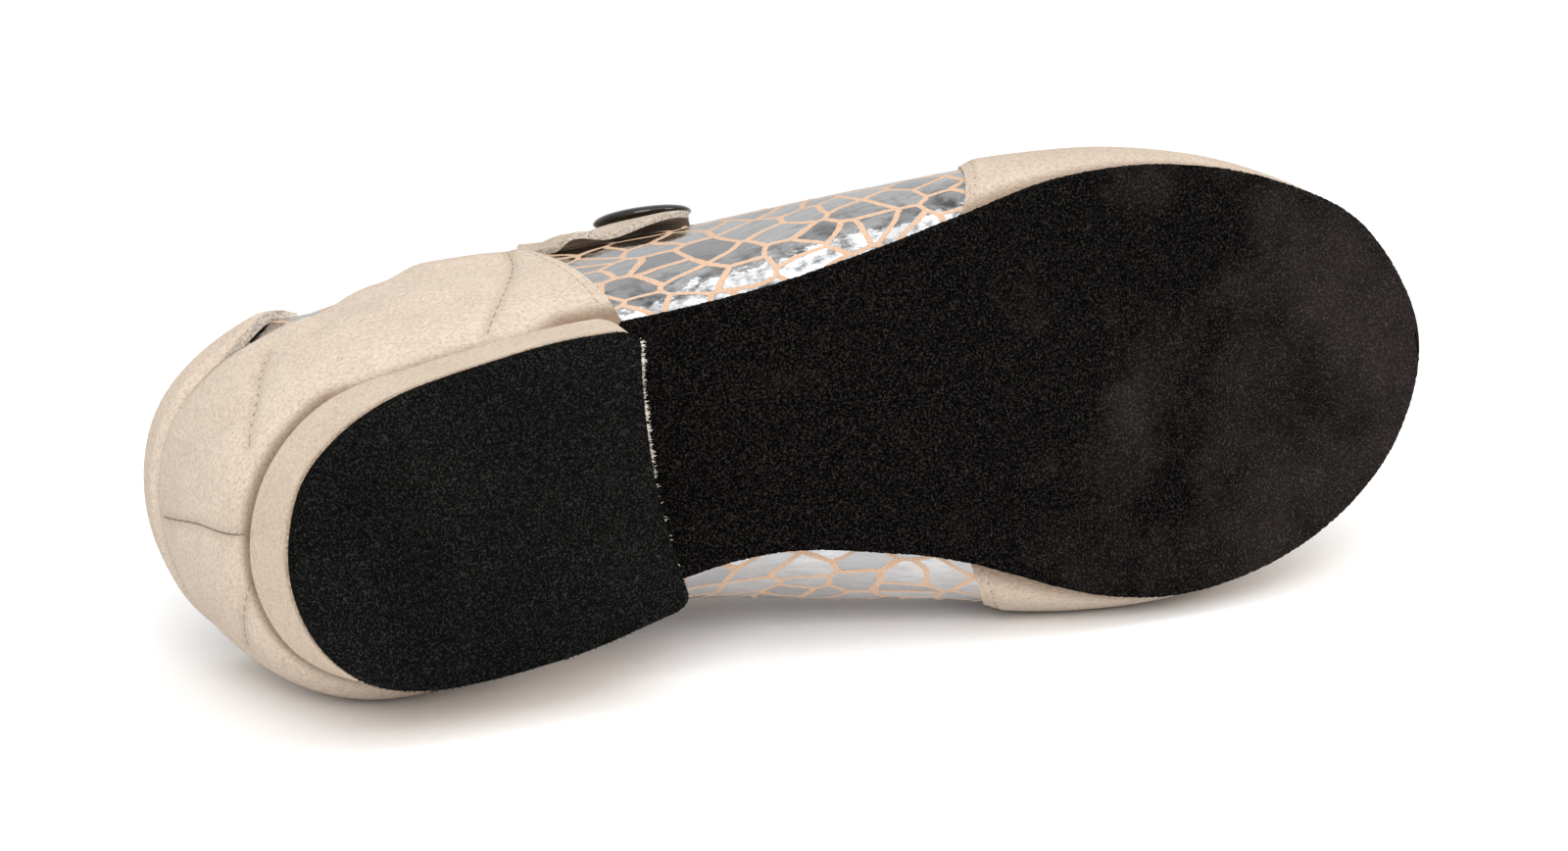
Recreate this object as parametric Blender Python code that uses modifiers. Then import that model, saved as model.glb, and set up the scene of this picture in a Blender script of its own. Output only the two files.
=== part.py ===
"""A low-heeled dance shoe for the right foot, lying on its inner side.

The shoe is worked out standing: x runs from the back of the heel to the toe, y from the outer
(lateral) side to the inner (medial) side, and z up from the floor. Sizes are in millimetres and
become metres where a mesh is made. The finished shoe is then turned on its side by one empty.
"""

import math
from collections import namedtuple

import bmesh
import bpy
from mathutils import Matrix, Vector

MM = 0.001

# Sole and heel, in millimetres
GAP = 0.3
SOLE_THICKNESS = 2.6
TOE_SPRING = 5.0
TOE_BREAK_X = 190.0
BALL_REAR_X = 156.0
BREAST_X = 76.0
BREAST_INNER_X = 78.6
BREAST_HOLLOW = 2.8
BREAST_LEAN = 4.0
BREAST_CORNER = 3.5
BREAST_SEAT_HEIGHT = 16.6
BACK_SEAT_HEIGHT = 19.0
SEAT_SLOPE = (BREAST_SEAT_HEIGHT - BACK_SEAT_HEIGHT) / BREAST_X
SOLE_TUCK = 4.0
REBATE_REACH = 20.0
REBATE_DROP = 0.5
REBATE_HALF_WIDTH = 60.0
LIFT_THICKNESS = 2.4
CORE_INSET = 5.0
CORE_FLOOR = 6.0
CORE_FRONT_X = 65.0

# How far the heel's top piece lies inside the seat's edge, at even turns from the inner front
# corner round the back to the outer front corner
LIFT_TURN = 4.0
LIFT_INSETS = (
    -1.6, -0.5, 0.85, 0.85, 0.2, -0.4, 0.05, 0.2,
    0.28,
    0.15, -0.15, 0.5, 1.15, 1.4, 1.0, -0.1, -0.3,
)

# Upper and what is laid on it, in millimetres
FEATHER_INSET = 1.8
WALL = 2.2
SUEDE = 1.2
HEEL_TAB_THICKNESS = 2.2
INSOLE_THICKNESS = 2.0
INSOLE_INSET = 0.7
STRAP_THICKNESS = 2.2
STRAP_STAND_OFF = 0.4
BUTTON_DIAMETER = 20.0
BUTTON_THICKNESS = 3.2
BUTTON_ROUND = 0.9
BUTTON_SEAT = 0.9

# How far the strap's lateral end stands over the upper, at even steps from its rear edge over
# the hump and the dip to its front edge
STRAP_LIFTS = (0.9, 2.9, 3.3, 2.7, 1.8, 1.55, 1.65, 1.85, 2.1, 2.35, 2.45, 2.2, 1.6)

# The soft collar is pushed towards the outer side by the floor the shoe lies on
COLLAR_LEAN = 7.6
LEAN_LOW_Z = 24.0
LEAN_HIGH_Z = 70.0
LEAN_FRONT_X = 150.0
LEAN_RUN = 100.0
LEAN_POWER = 1.5

# The floor in the standing shoe's frame, y = reach + yaw * x - tilt * z, and how far the soft
# upper stays inside it where the suede laid on it is pressed flat
FLOOR_YAW = 0.062
FLOOR_TILT = 0.16
FLOOR_REACH = 37.4

# Where the pieces laid on the upper end. Places count rows of the section table. Heights on a
# profile run from -1 at the feather edge, over 0 at the widest line, to 1 at the topline.
OVERLAY_FOOT = -0.85
COUNTER_FRONT = 4.05
COUNTER_BACK_TOP = 0.57
COUNTER_FRONT_TOP = 0.99
COUNTER_RISE_FROM = 2.4
COUNTER_RISE_RUN = 0.45
TAB_FRONT = 2.4
TAB_FOOT = 0.59
TAB_FOOT_RISE = 0.37
TAB_RISE_FROM = 1.75
CAP_FOOT_PLACE = 7.0
CAP_LEAN = 0.95
CAP_LEAN_REACH = 0.3
CAP_BLEND = 8.0
STRAP_REAR = 4.1
STRAP_FRONT = 5.22
BUTTON_PLACE = 5.02

# Shares of the whole profile, 0 at the feather edge and 1 at the ridge
LOWER_SHARE = 0.25
STRAP_END = 0.29
STRAP_END_ROUND = 0.06
STRAP_END_POWER = 5
STRAP_LIFT_REACH = 0.3
BUTTON_SHARE = 0.465

# The profile's first slope, and how sharp a heel corner counts as the breast's
FEATHER_START = math.radians(20)
BREAST_TURN = math.radians(50)
BEVEL_TURN = math.radians(50)

# Mesh steps, and steps of the searches
LOWER_ROWS = 4
UPPER_ROWS = 8
STEPS_PER_ROW = 3
THROAT_STEPS = (0.0, 0.01, 0.04, 0.09, 0.16, 0.25)
CAP_BLEND_STEPS = 4
TAB_ROWS = 4
END_STEPS = 4
STRAP_STEPS = 16
STRAP_HALF_ROWS = 10
SHEET_STEPS = 8
HEEL_SIDE_STEPS = 14
BREAST_STEPS = 8
BUTTON_SEGMENTS = 32
ROUND_STEPS = 3
SEARCH_STEPS = 40
THROAT_SEARCH = (4.0, 8.0)
HEEL_SEARCH = (2.0, 6.0)
CLEAR_SHARE = 0.3
EDGE_STEP = 0.02
FACE_STEP = 0.004
MERGE = 0.00001

# Inside places that the faces of each sheet look away from
SHOE_MIDDLE = (125.0, 0.0, 35.0)
HEEL_MIDDLE = (45.0, 0.0, 40.0)
TOE_MIDDLE = (195.0, 0.0, 15.0)
INSTEP_MIDDLE = (100.0, 0.0, 40.0)
FAR_BELOW = (125.0, 0.0, -500.0)

# One row for each section from heel to toe. x and y are the sole's edge on the outer (lat) and
# inner (med) side, flare is how far the upper's widest line stands outside that edge, girth is
# the widest line's height over the feather edge, ridge_x is where the section meets the ridge,
# fullness is how square the section is, and top is the topline's height over the floor.
Section = namedtuple(
    "Section",
    "name lat_x lat_y lat_flare lat_girth med_x med_y med_flare med_girth ridge_x fullness top",
)
SECTIONS = [
    Section("heel_back", 1.6, 2.0, 1.6, 22, 1.6, 2.0, 1.6, 22, 38, 2.4, 68),
    Section("heel_turn", 7.5, -15.0, 2.6, 22, 7.5, 18.5, 3.2, 19, 40, 2.4, 67),
    Section("heel", 24.0, -26.6, 2.4, 24, 24.0, 27.6, 4.8, 16, 46, 2.5, 64),
    Section("seat", 50.0, -30.2, 4.6, 26, 50.0, 28.6, 4.5, 18, 61, 2.5, 60),
    Section("breast", 79.0, -29.0, 7.6, 26, 79.0, 21.8, 8.0, 22, 85, 2.4, 57),
    Section("waist", 105.0, -30.4, 9.2, 25, 103.0, 19.5, 12.2, 24, 112, 2.3, 57),
    Section("shank", 127.0, -34.0, 8.4, 22, 124.0, 23.4, 11.8, 22, 140, 2.2, 60),
    Section("cap_edge", 146.0, -37.8, 6.0, 18, 139.0, 28.2, 9.5, 18, 166, 2.1, 64),
    Section("ball", 168.0, -41.3, 2.7, 14, 166.0, 40.2, 3.5, 15, 182, 2.1, 66),
    Section("ball_front", 192.0, -40.0, 1.2, 13, 190.0, 43.8, 1.0, 13, 196, 2.2, 66),
    Section("toe", 216.0, -32.8, 0.8, 12, 217.0, 38.6, 0.8, 12, 208, 2.3, 66),
    Section("toe_turn", 237.5, -19.5, 0.4, 11, 239.0, 24.8, 0.4, 11, 216, 2.3, 66),
    Section("toe_tip", 248.5, 3.8, 0.4, 11, 248.5, 3.8, 0.4, 11, 219, 2.3, 66),
]

# The ridge along the top of the foot. Behind the throat it only shapes the walls and the strap.
Ridge = namedtuple("Ridge", "x y z")
RIDGE = [
    Ridge(20, 1, 104),
    Ridge(60, 2, 94),
    Ridge(100, 4, 79),
    Ridge(140, 6, 64.5),
    Ridge(175, 6, 51),
    Ridge(205, 5, 41),
    Ridge(225, 4, 36),
]

LAST_ROW = len(SECTIONS) - 1
LOOP = 2 * LAST_ROW


def loop_column(lat, med):
    """A column's values once round the shoe: out along the lateral side, back along the medial."""
    outward = [getattr(section, lat) for section in SECTIONS]
    homeward = [getattr(section, med) for section in SECTIONS[-2:0:-1]]
    return outward + homeward


COLUMNS = {
    "x": loop_column("lat_x", "med_x"),
    "y": loop_column("lat_y", "med_y"),
    "flare": loop_column("lat_flare", "med_flare"),
    "girth": loop_column("lat_girth", "med_girth"),
    "ridge_x": loop_column("ridge_x", "ridge_x"),
    "fullness": loop_column("fullness", "fullness"),
    "top": loop_column("top", "top"),
}


def smooth_step(f):
    f = min(1.0, max(0.0, f))
    return f * f * (3 - 2 * f)


def cubic(p0, p1, p2, p3, f):
    """A Catmull-Rom curve from p1 to p2."""
    return p1 + 0.5 * f * (
        p2 - p0 + f * (2 * p0 - 5 * p1 + 4 * p2 - p3 + f * (3 * (p1 - p2) + p3 - p0))
    )


def along_table(values, share):
    """The value at a share of an even table's length, on a smooth curve through its values."""
    last = len(values) - 1
    i = min(max(math.floor(share * last), 0), last - 1)
    return cubic(*(values[min(max(i + j, 0), last)] for j in (-1, 0, 1, 2)), share * last - i)


def around(column, s):
    """A column's value at place s round the shoe: 0 at the heel, LAST_ROW at the toe tip."""
    values = COLUMNS[column]
    i = math.floor(s)
    return cubic(*(values[(i + j) % LOOP] for j in (-1, 0, 1, 2)), s - i)


def lateral(k):
    return k


def medial(k):
    return LOOP - k


def ridge_point(x):
    """The ridge at x, on a smooth curve through its table."""
    i = max(0, min(len(RIDGE) - 2, sum(x >= row.x for row in RIDGE) - 1))
    rows = [RIDGE[max(0, min(len(RIDGE) - 1, i + j))] for j in (-1, 0, 1, 2)]
    f = (x - rows[1].x) / (rows[2].x - rows[1].x)
    y = cubic(*(row.y for row in rows), f)
    z = cubic(*(row.z for row in rows), f)
    return Vector((x, y, z))


def sole_top(x):
    """Height of the sole's upper face, which the feather edge and the insole sit on."""
    if x >= BALL_REAR_X:
        rise = max(0.0, (x - TOE_BREAK_X) / (SECTIONS[-1].lat_x - TOE_BREAK_X))
        return SOLE_THICKNESS + TOE_SPRING * rise**2
    if x <= BREAST_X:
        return BACK_SEAT_HEIGHT + SEAT_SLOPE * x
    span = BALL_REAR_X - BREAST_X
    f = (x - BREAST_X) / span
    drop = (BREAST_SEAT_HEIGHT - SOLE_THICKNESS) * smooth_step(f)
    return BREAST_SEAT_HEIGHT - drop + SEAT_SLOPE * span * f * (1 - f) ** 2


def edge_point(s, inset=0.0):
    """The sole's edge at place s, moved inwards by inset."""
    x, y = around("x", s), around("y", s)
    tx = around("x", s + EDGE_STEP) - around("x", s - EDGE_STEP)
    ty = around("y", s + EDGE_STEP) - around("y", s - EDGE_STEP)
    length = math.hypot(tx, ty)
    return Vector((x - inset * ty / length, y + inset * tx / length, 0.0))


def leaned(point):
    """The point carried towards the outer side by the collar's lean."""
    height = max(0.0, (point.z - LEAN_LOW_Z) / (LEAN_HIGH_Z - LEAN_LOW_Z))
    share = smooth_step((LEAN_FRONT_X - point.x) / LEAN_RUN)
    point.y -= COLLAR_LEAN * share * height**LEAN_POWER
    return point


def pressed(point):
    """The point held back where the suede over it lies flat on the floor."""
    floor = FLOOR_REACH + FLOOR_YAW * point.x - FLOOR_TILT * point.z
    point.y = min(point.y, floor - GAP - SUEDE)
    return point


def dome_point(s, t):
    """The upper's outer face: t is 0 at the feather edge, LOWER_SHARE at the widest line, 1 at the ridge."""
    flare, girth = around("flare", s), around("girth", s)
    edge = edge_point(s)
    floor = sole_top(edge.x) + GAP
    widest = edge_point(s, -flare)
    if t <= LOWER_SHARE:
        turn = FEATHER_START + (math.pi / 2 - FEATHER_START) * t / LOWER_SHARE
        out = (math.sin(turn) - math.sin(FEATHER_START)) / (1 - math.sin(FEATHER_START))
        up = 1 - math.cos(turn) / math.cos(FEATHER_START)
        point = edge_point(s, FEATHER_INSET - (FEATHER_INSET + flare) * out)
        point.z = floor + girth * up
        return pressed(leaned(point))
    turn = math.pi / 2 * (t - LOWER_SHARE) / (1 - LOWER_SHARE)
    power = 2 / around("fullness", s)
    spread = max(0.0, math.cos(turn)) ** power
    rise = math.sin(turn) ** power
    ridge = ridge_point(around("ridge_x", s))
    widest.z = floor + girth
    point = ridge + (widest - ridge) * spread
    point.z = widest.z + (ridge.z - widest.z) * rise
    return pressed(leaned(point))


def topline(s):
    """The t at which the upper ends: its topline, or the ridge where the vamp is closed."""
    edge = edge_point(s)
    widest_z = sole_top(edge.x) + GAP + around("girth", s)
    ridge_z = ridge_point(around("ridge_x", s)).z
    share = (around("top", s) - widest_z) / (ridge_z - widest_z)
    if share >= 1:
        return 1.0
    turn = math.asin(share ** (around("fullness", s) / 2))
    return LOWER_SHARE + (1 - LOWER_SHARE) * turn / (math.pi / 2)


def profile_rows(foot=-1.0):
    """Mesh rows up the profile: foot, or -1 at the feather edge, then 0 widest line, 1 topline."""
    rows = [i / LOWER_ROWS - 1 for i in range(LOWER_ROWS)]
    rows += [i / UPPER_ROWS for i in range(UPPER_ROWS + 1)]
    return [foot] + [row for row in rows if row > foot]


def profile_share(s, row):
    """The t of dome_point at a row of the profile."""
    if row < 0:
        return LOWER_SHARE * (1 + row)
    return LOWER_SHARE + (topline(s) - LOWER_SHARE) * row


def side_normal(s, t):
    """The outward direction of the upper's outer face on one side of the ridge."""
    t = max(FACE_STEP, min(t, 1 - 2 * FACE_STEP))
    along = dome_point(s + FACE_STEP, t) - dome_point(s - FACE_STEP, t)
    up = dome_point(s, t + FACE_STEP) - dome_point(s, t - FACE_STEP)
    return along.cross(up).normalized()


def dome_normal(s, t):
    """The outward direction of the upper's outer face. Both sides share it on the ridge."""
    if t < 1:
        return side_normal(s, t)
    return (side_normal(s, t) + side_normal(LOOP - s, t)).normalized()


def laid_on(s, t, height):
    """A point that stands over the upper's outer face by height."""
    return dome_point(s, t) + dome_normal(s, t) * height


def halved(low, high, is_low):
    """The place between low and high where is_low stops being true."""
    for _ in range(SEARCH_STEPS):
        middle = (low + high) / 2
        if is_low(middle):
            low = middle
        else:
            high = middle
    return high


def throat_place():
    """The place where the topline meets the ridge, so that the vamp closes."""
    return halved(*THROAT_SEARCH, lambda k: topline(k) < 1)


def heel_place(x, side):
    """The place on one side whose edge lies at x, between the heel and the shank."""
    return halved(*HEEL_SEARCH, lambda k: edge_point(side(k)).x < x)


def section_places(low, high, extra=()):
    """Mesh places from low to high: even steps, with the extra places put in."""
    extra = sorted({low, high, *(k for k in extra if low < k < high)})
    clear = CLEAR_SHARE / STEPS_PER_ROW
    even = [i / STEPS_PER_ROW for i in range(LAST_ROW * STEPS_PER_ROW + 1)]
    kept = [k for k in even if low < k < high and min(abs(k - e) for e in extra) > clear]
    return sorted(kept + extra)


def both_ways(places):
    """Places that start at 0, mirrored to run from the medial end round to the lateral end."""
    return [-k for k in reversed(places[1:])] + places


def mapped_grid(across, along, point):
    """A grid with a vertex at point(a, b) for each a in across and b in along."""
    bm = bmesh.new()
    bmesh.ops.create_grid(bm, x_segments=len(across) - 1, y_segments=len(along) - 1, size=1)
    for vert in bm.verts:
        i = round((vert.co.x + 1) / 2 * (len(across) - 1))
        j = round((vert.co.y + 1) / 2 * (len(along) - 1))
        vert.co = point(across[i], along[j]) * MM
    bmesh.ops.remove_doubles(bm, verts=bm.verts, dist=MERGE)
    bmesh.ops.dissolve_degenerate(bm, edges=bm.edges, dist=MERGE)
    return bm


def face_away(bm, inside):
    """Turns the faces so that they look away from an inside place."""
    bm.normal_update()
    inside = Vector(inside) * MM
    outward = sum(f.calc_area() * f.normal.dot(f.calc_center_median() - inside) for f in bm.faces)
    if outward < 0:
        bmesh.ops.reverse_faces(bm, faces=bm.faces)


def new_object(name, bm, finish, collection):
    mesh = bpy.data.meshes.new(name)
    bm.to_mesh(mesh)
    bm.free()
    mesh.materials.append(finish)
    mesh.shade_smooth()
    mesh.set_sharp_from_angle(angle=BEVEL_TURN)
    obj = bpy.data.objects.new(name, mesh)
    collection.objects.link(obj)
    return obj


def thicken(obj, thickness, side):
    """Gives a sheet its thickness: side 1 grows along the normals, -1 against them."""
    solidify = obj.modifiers.new("thickness", "SOLIDIFY")
    solidify.thickness = thickness * MM
    solidify.offset = side
    solidify.use_even_offset = True


def round_edges(obj, width, segments):
    bevel = obj.modifiers.new("rounded_edges", "BEVEL")
    bevel.width = width * MM
    bevel.segments = segments
    bevel.limit_method = "ANGLE"
    bevel.angle_limit = BEVEL_TURN


def finish_of(name, colour, roughness, metallic=0.0):
    made = bpy.data.materials.new(name)
    made.use_nodes = True
    shader = made.node_tree.nodes["Principled BSDF"]
    shader.inputs["Base Color"].default_value = (*colour, 1.0)
    shader.inputs["Roughness"].default_value = roughness
    shader.inputs["Metallic"].default_value = metallic
    return made


def make_upper(finish, collection):
    """The hollow upper: one wall all round, open along the topline and underneath."""
    throat = throat_place()
    extra = [COUNTER_FRONT] + [throat - step for step in THROAT_STEPS]
    places = section_places(0.0, float(LAST_ROW), extra)
    loop = places + [LOOP - k for k in reversed(places[:-1])]
    bm = mapped_grid(loop, profile_rows(), lambda s, row: dome_point(s, profile_share(s, row)))
    face_away(bm, SHOE_MIDDLE)
    obj = new_object("upper", bm, finish, collection)
    thicken(obj, WALL, -1)
    return obj


def cap_place(side, t):
    """A place on the toe cap: side is -1 at its rear edge, 0 at the blend, then table rows."""
    if side >= 0:
        return CAP_BLEND + side
    edge = CAP_FOOT_PLACE + CAP_LEAN * (1 - math.exp(-t / CAP_LEAN_REACH))
    return CAP_BLEND + side * (CAP_BLEND - edge)


def make_toe_cap(finish, collection):
    """The suede toe cap laid round the toe. Its rear edge leans forward as it climbs."""
    sides = [i / CAP_BLEND_STEPS - 1 for i in range(CAP_BLEND_STEPS)]
    sides += [k - CAP_BLEND for k in section_places(CAP_BLEND, float(LAST_ROW))]
    tip = sides[-1]
    turns = sides + [2 * tip - side for side in reversed(sides[:-1])]

    def cap_point(turn, row):
        t = LOWER_SHARE * (1 + row) if row < 0 else LOWER_SHARE + (1 - LOWER_SHARE) * row
        if turn <= tip:
            return laid_on(lateral(cap_place(turn, t)), t, GAP)
        return laid_on(medial(cap_place(2 * tip - turn, t)), t, GAP)

    bm = mapped_grid(turns, profile_rows(OVERLAY_FOOT), cap_point)
    face_away(bm, TOE_MIDDLE)
    obj = new_object("toe_cap", bm, finish, collection)
    thicken(obj, SUEDE, 1)
    return obj


def make_counter(finish, collection):
    """The suede counter round the heel. It reaches the topline only towards its front ends."""
    def counter_point(turn, row):
        rise = smooth_step((abs(turn) - COUNTER_RISE_FROM) / COUNTER_RISE_RUN)
        top = COUNTER_BACK_TOP + (COUNTER_FRONT_TOP - COUNTER_BACK_TOP) * rise
        return laid_on(turn, profile_share(turn, row if row < 0 else row * top), GAP)

    rises = [COUNTER_RISE_FROM + COUNTER_RISE_RUN * i / END_STEPS for i in range(END_STEPS + 1)]
    turns = both_ways(section_places(0.0, COUNTER_FRONT, rises))
    bm = mapped_grid(turns, profile_rows(OVERLAY_FOOT), counter_point)
    face_away(bm, HEEL_MIDDLE)
    obj = new_object("counter", bm, finish, collection)
    thicken(obj, SUEDE, 1)
    return obj


def make_heel_tab(finish, collection):
    """The thick suede strip round the back of the collar. Its foot rises towards its ends."""
    def tab_point(turn, share):
        run = (abs(turn) - TAB_RISE_FROM) / (TAB_FRONT - TAB_RISE_FROM)
        foot = TAB_FOOT + TAB_FOOT_RISE * smooth_step(run)
        return laid_on(turn, profile_share(turn, foot + (1 - foot) * share), GAP)

    step = (TAB_FRONT - TAB_RISE_FROM) / END_STEPS
    rises = [TAB_RISE_FROM + step * i for i in range(END_STEPS)]
    turns = both_ways(section_places(0.0, TAB_FRONT, rises))
    bm = mapped_grid(turns, [i / TAB_ROWS for i in range(TAB_ROWS + 1)], tab_point)
    face_away(bm, HEEL_MIDDLE)
    obj = new_object("heel_tab", bm, finish, collection)
    thicken(obj, HEEL_TAB_THICKNESS, 1)
    return obj


def strap_height(k, t):
    """How far the strap stands over the upper: it lies down away from its lateral end."""
    near_end = smooth_step(1 - (t - STRAP_END) / STRAP_LIFT_REACH)
    lift = along_table(STRAP_LIFTS, (k - STRAP_REAR) / (STRAP_FRONT - STRAP_REAR))
    return STRAP_STAND_OFF + near_end * (lift - STRAP_STAND_OFF)


def make_strap(finish, collection):
    """The strap over the instep: sewn down on the medial side, buttoned on the lateral side."""
    def strap_point(k, run):
        side = (2 * k - STRAP_FRONT - STRAP_REAR) / (STRAP_FRONT - STRAP_REAR)
        end = STRAP_END + STRAP_END_ROUND * abs(side) ** STRAP_END_POWER
        t = 1 - (1 - end) * abs(run) / STRAP_HALF_ROWS
        if run < 0:
            return laid_on(lateral(k), t, strap_height(k, t))
        return laid_on(medial(k), t, STRAP_STAND_OFF)

    step = (STRAP_FRONT - STRAP_REAR) / STRAP_STEPS
    across = [STRAP_REAR + step * i for i in range(STRAP_STEPS + 1)]
    bm = mapped_grid(across, list(range(-STRAP_HALF_ROWS, STRAP_HALF_ROWS + 1)), strap_point)
    face_away(bm, INSTEP_MIDDLE)
    obj = new_object("strap", bm, finish, collection)
    thicken(obj, STRAP_THICKNESS, 1)
    return obj


def make_button(finish, collection):
    """The round metal button on the strap's lateral end."""
    bm = bmesh.new()
    radius = BUTTON_DIAMETER / 2 * MM
    bmesh.ops.create_cone(
        bm,
        cap_ends=True,
        segments=BUTTON_SEGMENTS,
        radius1=radius,
        radius2=radius,
        depth=BUTTON_THICKNESS * MM,
    )
    obj = new_object("button", bm, finish, collection)
    round_edges(obj, BUTTON_ROUND, ROUND_STEPS)
    lift = strap_height(BUTTON_PLACE, BUTTON_SHARE) + STRAP_THICKNESS + BUTTON_SEAT
    obj.location = laid_on(BUTTON_PLACE, BUTTON_SHARE, lift + BUTTON_THICKNESS / 2) * MM
    obj.rotation_euler = dome_normal(BUTTON_PLACE, BUTTON_SHARE).to_track_quat("Z", "Y").to_euler()
    return obj


def sheet_between(places, inset, height):
    """A sheet across the shoe from its lateral edge to its medial one, at height(x)."""
    def across_point(k, share):
        point = edge_point(lateral(k), inset).lerp(edge_point(medial(k), inset), share)
        point.z = height(point.x)
        return point

    bm = mapped_grid(places, [i / SHEET_STEPS for i in range(SHEET_STEPS + 1)], across_point)
    face_away(bm, FAR_BELOW)
    return bm


def make_outsole(finish, collection):
    """The suede sole from under the heel's breast to the toe, with its arch and toe spring."""
    rear = heel_place(BREAST_X - SOLE_TUCK, lateral)
    bm = sheet_between(section_places(rear, float(LAST_ROW)), 0.0, sole_top)
    obj = new_object("outsole", bm, finish, collection)
    thicken(obj, SOLE_THICKNESS, -1)
    return obj


def make_insole(finish, collection):
    """The insole that lies on the sole and the heel, inside the upper's wall."""
    inset = FEATHER_INSET + WALL + INSOLE_INSET
    places = section_places(0.0, float(LAST_ROW))
    bm = sheet_between(places, inset, lambda x: sole_top(x) + GAP)
    obj = new_object("insole", bm, finish, collection)
    thicken(obj, INSOLE_THICKNESS, 1)
    return obj


def lift_inset(turn):
    """How far the top piece lies inside the seat's edge: turns to the lateral side count up."""
    return along_table(LIFT_INSETS, (turn / LIFT_TURN + 1) / 2)


def heel_outline(inset, lat_x, med_x):
    """The heel's outline: from the lateral front corner round the back, then along the breast."""
    lat_end, med_end = heel_place(lat_x, lateral), heel_place(med_x, medial)
    shares = [i / HEEL_SIDE_STEPS for i in range(HEEL_SIDE_STEPS + 1)]
    points = [edge_point(lateral(lat_end * f), inset(lat_end * f)) for f in reversed(shares)]
    points += [edge_point(medial(med_end * f), inset(-med_end * f)) for f in shares[1:]]
    start, end = points[-1], points[0]
    for i in range(1, BREAST_STEPS):
        f = i / BREAST_STEPS
        point = start.lerp(end, f)
        point.x -= BREAST_HOLLOW * 4 * f * (1 - f)
        points.append(point)
    return points


def heel_solid(low, high, low_inset, high_inset, fronts=(BREAST_X, BREAST_INNER_X), lean=0.0):
    """A solid between two heel outlines, at heights low(x) and high(x), with rounded corners.

    fronts are the lateral and medial front ends of its foot. Its head stands lean ahead of them."""
    foot = heel_outline(low_inset, *fronts)
    head = heel_outline(high_inset, *(front + lean for front in fronts))
    bm = bmesh.new()
    bmesh.ops.create_cone(bm, cap_ends=True, segments=len(foot), radius1=1, radius2=1, depth=2)
    for vert in bm.verts:
        turn = math.atan2(vert.co.y, vert.co.x) / (2 * math.pi)
        i = round(turn * len(foot)) % len(foot)
        point = (foot if vert.co.z < 0 else head)[i].copy()
        point.z = low(point.x) if vert.co.z < 0 else high(point.x)
        vert.co = point * MM
    if bm.calc_volume(signed=True) < 0:
        bmesh.ops.reverse_faces(bm, faces=bm.faces)
    bm.normal_update()
    upright = [e for e in bm.edges if abs(e.verts[0].co.z - e.verts[1].co.z) > MM]
    corners = [e for e in upright if e.calc_face_angle() > BREAST_TURN]
    bmesh.ops.bevel(
        bm,
        geom=corners,
        offset=BREAST_CORNER * MM,
        offset_type="OFFSET",
        segments=ROUND_STEPS,
        profile=0.5,
        affect="EDGES",
        material=-1,
    )
    return bm


def cut_away(obj, name, bm, finish, cutters):
    """Cuts a shape out of a piece, and keeps the cutter as a helper."""
    cutter = new_object(name, bm, finish, cutters)
    cutter.hide_render = True
    cutter.display_type = "WIRE"
    cut = obj.modifiers.new(name, "BOOLEAN")
    cut.object = cutter
    cut.operation = "DIFFERENCE"
    cut.solver = "EXACT"


def make_heel_block(finish, collection, cutters):
    """The covered heel, cored from its seat. Its breast is rebated for the end of the sole."""
    foot = LIFT_THICKNESS + GAP
    bm = heel_solid(lambda x: foot, sole_top, lift_inset, lambda turn: 0.0, lean=BREAST_LEAN)
    obj = new_object("heel_block", bm, finish, collection)
    bm = bmesh.new()
    bmesh.ops.create_cube(bm, size=2)
    for vert in bm.verts:
        x = BREAST_X - SOLE_TUCK - GAP if vert.co.x < 0 else BREAST_X + REBATE_REACH
        floor = BACK_SEAT_HEIGHT + SEAT_SLOPE * x - SOLE_THICKNESS - GAP
        floor -= REBATE_DROP if vert.co.x > 0 else 0.0
        z = floor if vert.co.z < 0 else floor + REBATE_REACH
        vert.co = Vector((x, vert.co.y * REBATE_HALF_WIDTH, z)) * MM
    cut_away(obj, "sole_rebate", bm, finish, cutters)
    top = BACK_SEAT_HEIGHT + REBATE_REACH
    inset = lambda turn: CORE_INSET
    fronts = (CORE_FRONT_X, CORE_FRONT_X)
    bm = heel_solid(lambda x: CORE_FLOOR, lambda x: top, inset, inset, fronts)
    cut_away(obj, "heel_core", bm, finish, cutters)
    return obj


def make_heel_lift(finish, collection):
    """The suede top piece under the heel."""
    bm = heel_solid(lambda x: 0.0, lambda x: LIFT_THICKNESS, lift_inset, lift_inset)
    return new_object("heel_lift", bm, finish, collection)


def corners_of(objects):
    """Every corner of the finished pieces."""
    bpy.context.view_layer.update()
    graph = bpy.context.evaluated_depsgraph_get()
    points = []
    for obj in objects:
        solid = obj.evaluated_get(graph)
        mesh = solid.to_mesh()
        points += [solid.matrix_world @ vert.co for vert in mesh.vertices]
        solid.to_mesh_clear()
    return points


def lay_down(stand, objects):
    """Turns the shoe on its medial side and sets the middle of its box's foot at the origin."""
    down = Vector((-FLOOR_YAW, 1.0, FLOOR_TILT)).normalized()
    toe = Vector((1.0, 0.0, 0.0))
    forward = (toe - down * toe.dot(down)).normalized()
    turn = Matrix((forward, -down.cross(forward), -down)).to_4x4()
    turned = [turn @ point for point in corners_of(objects)]
    low = [min(point[i] for point in turned) for i in range(3)]
    high = [max(point[i] for point in turned) for i in range(3)]
    foot = Vector(((low[0] + high[0]) / 2, (low[1] + high[1]) / 2, low[2]))
    stand.matrix_world = Matrix.Translation(-foot) @ turn


def new_collection(name):
    made = bpy.data.collections.new(name)
    bpy.context.scene.collection.children.link(made)
    return made


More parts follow.
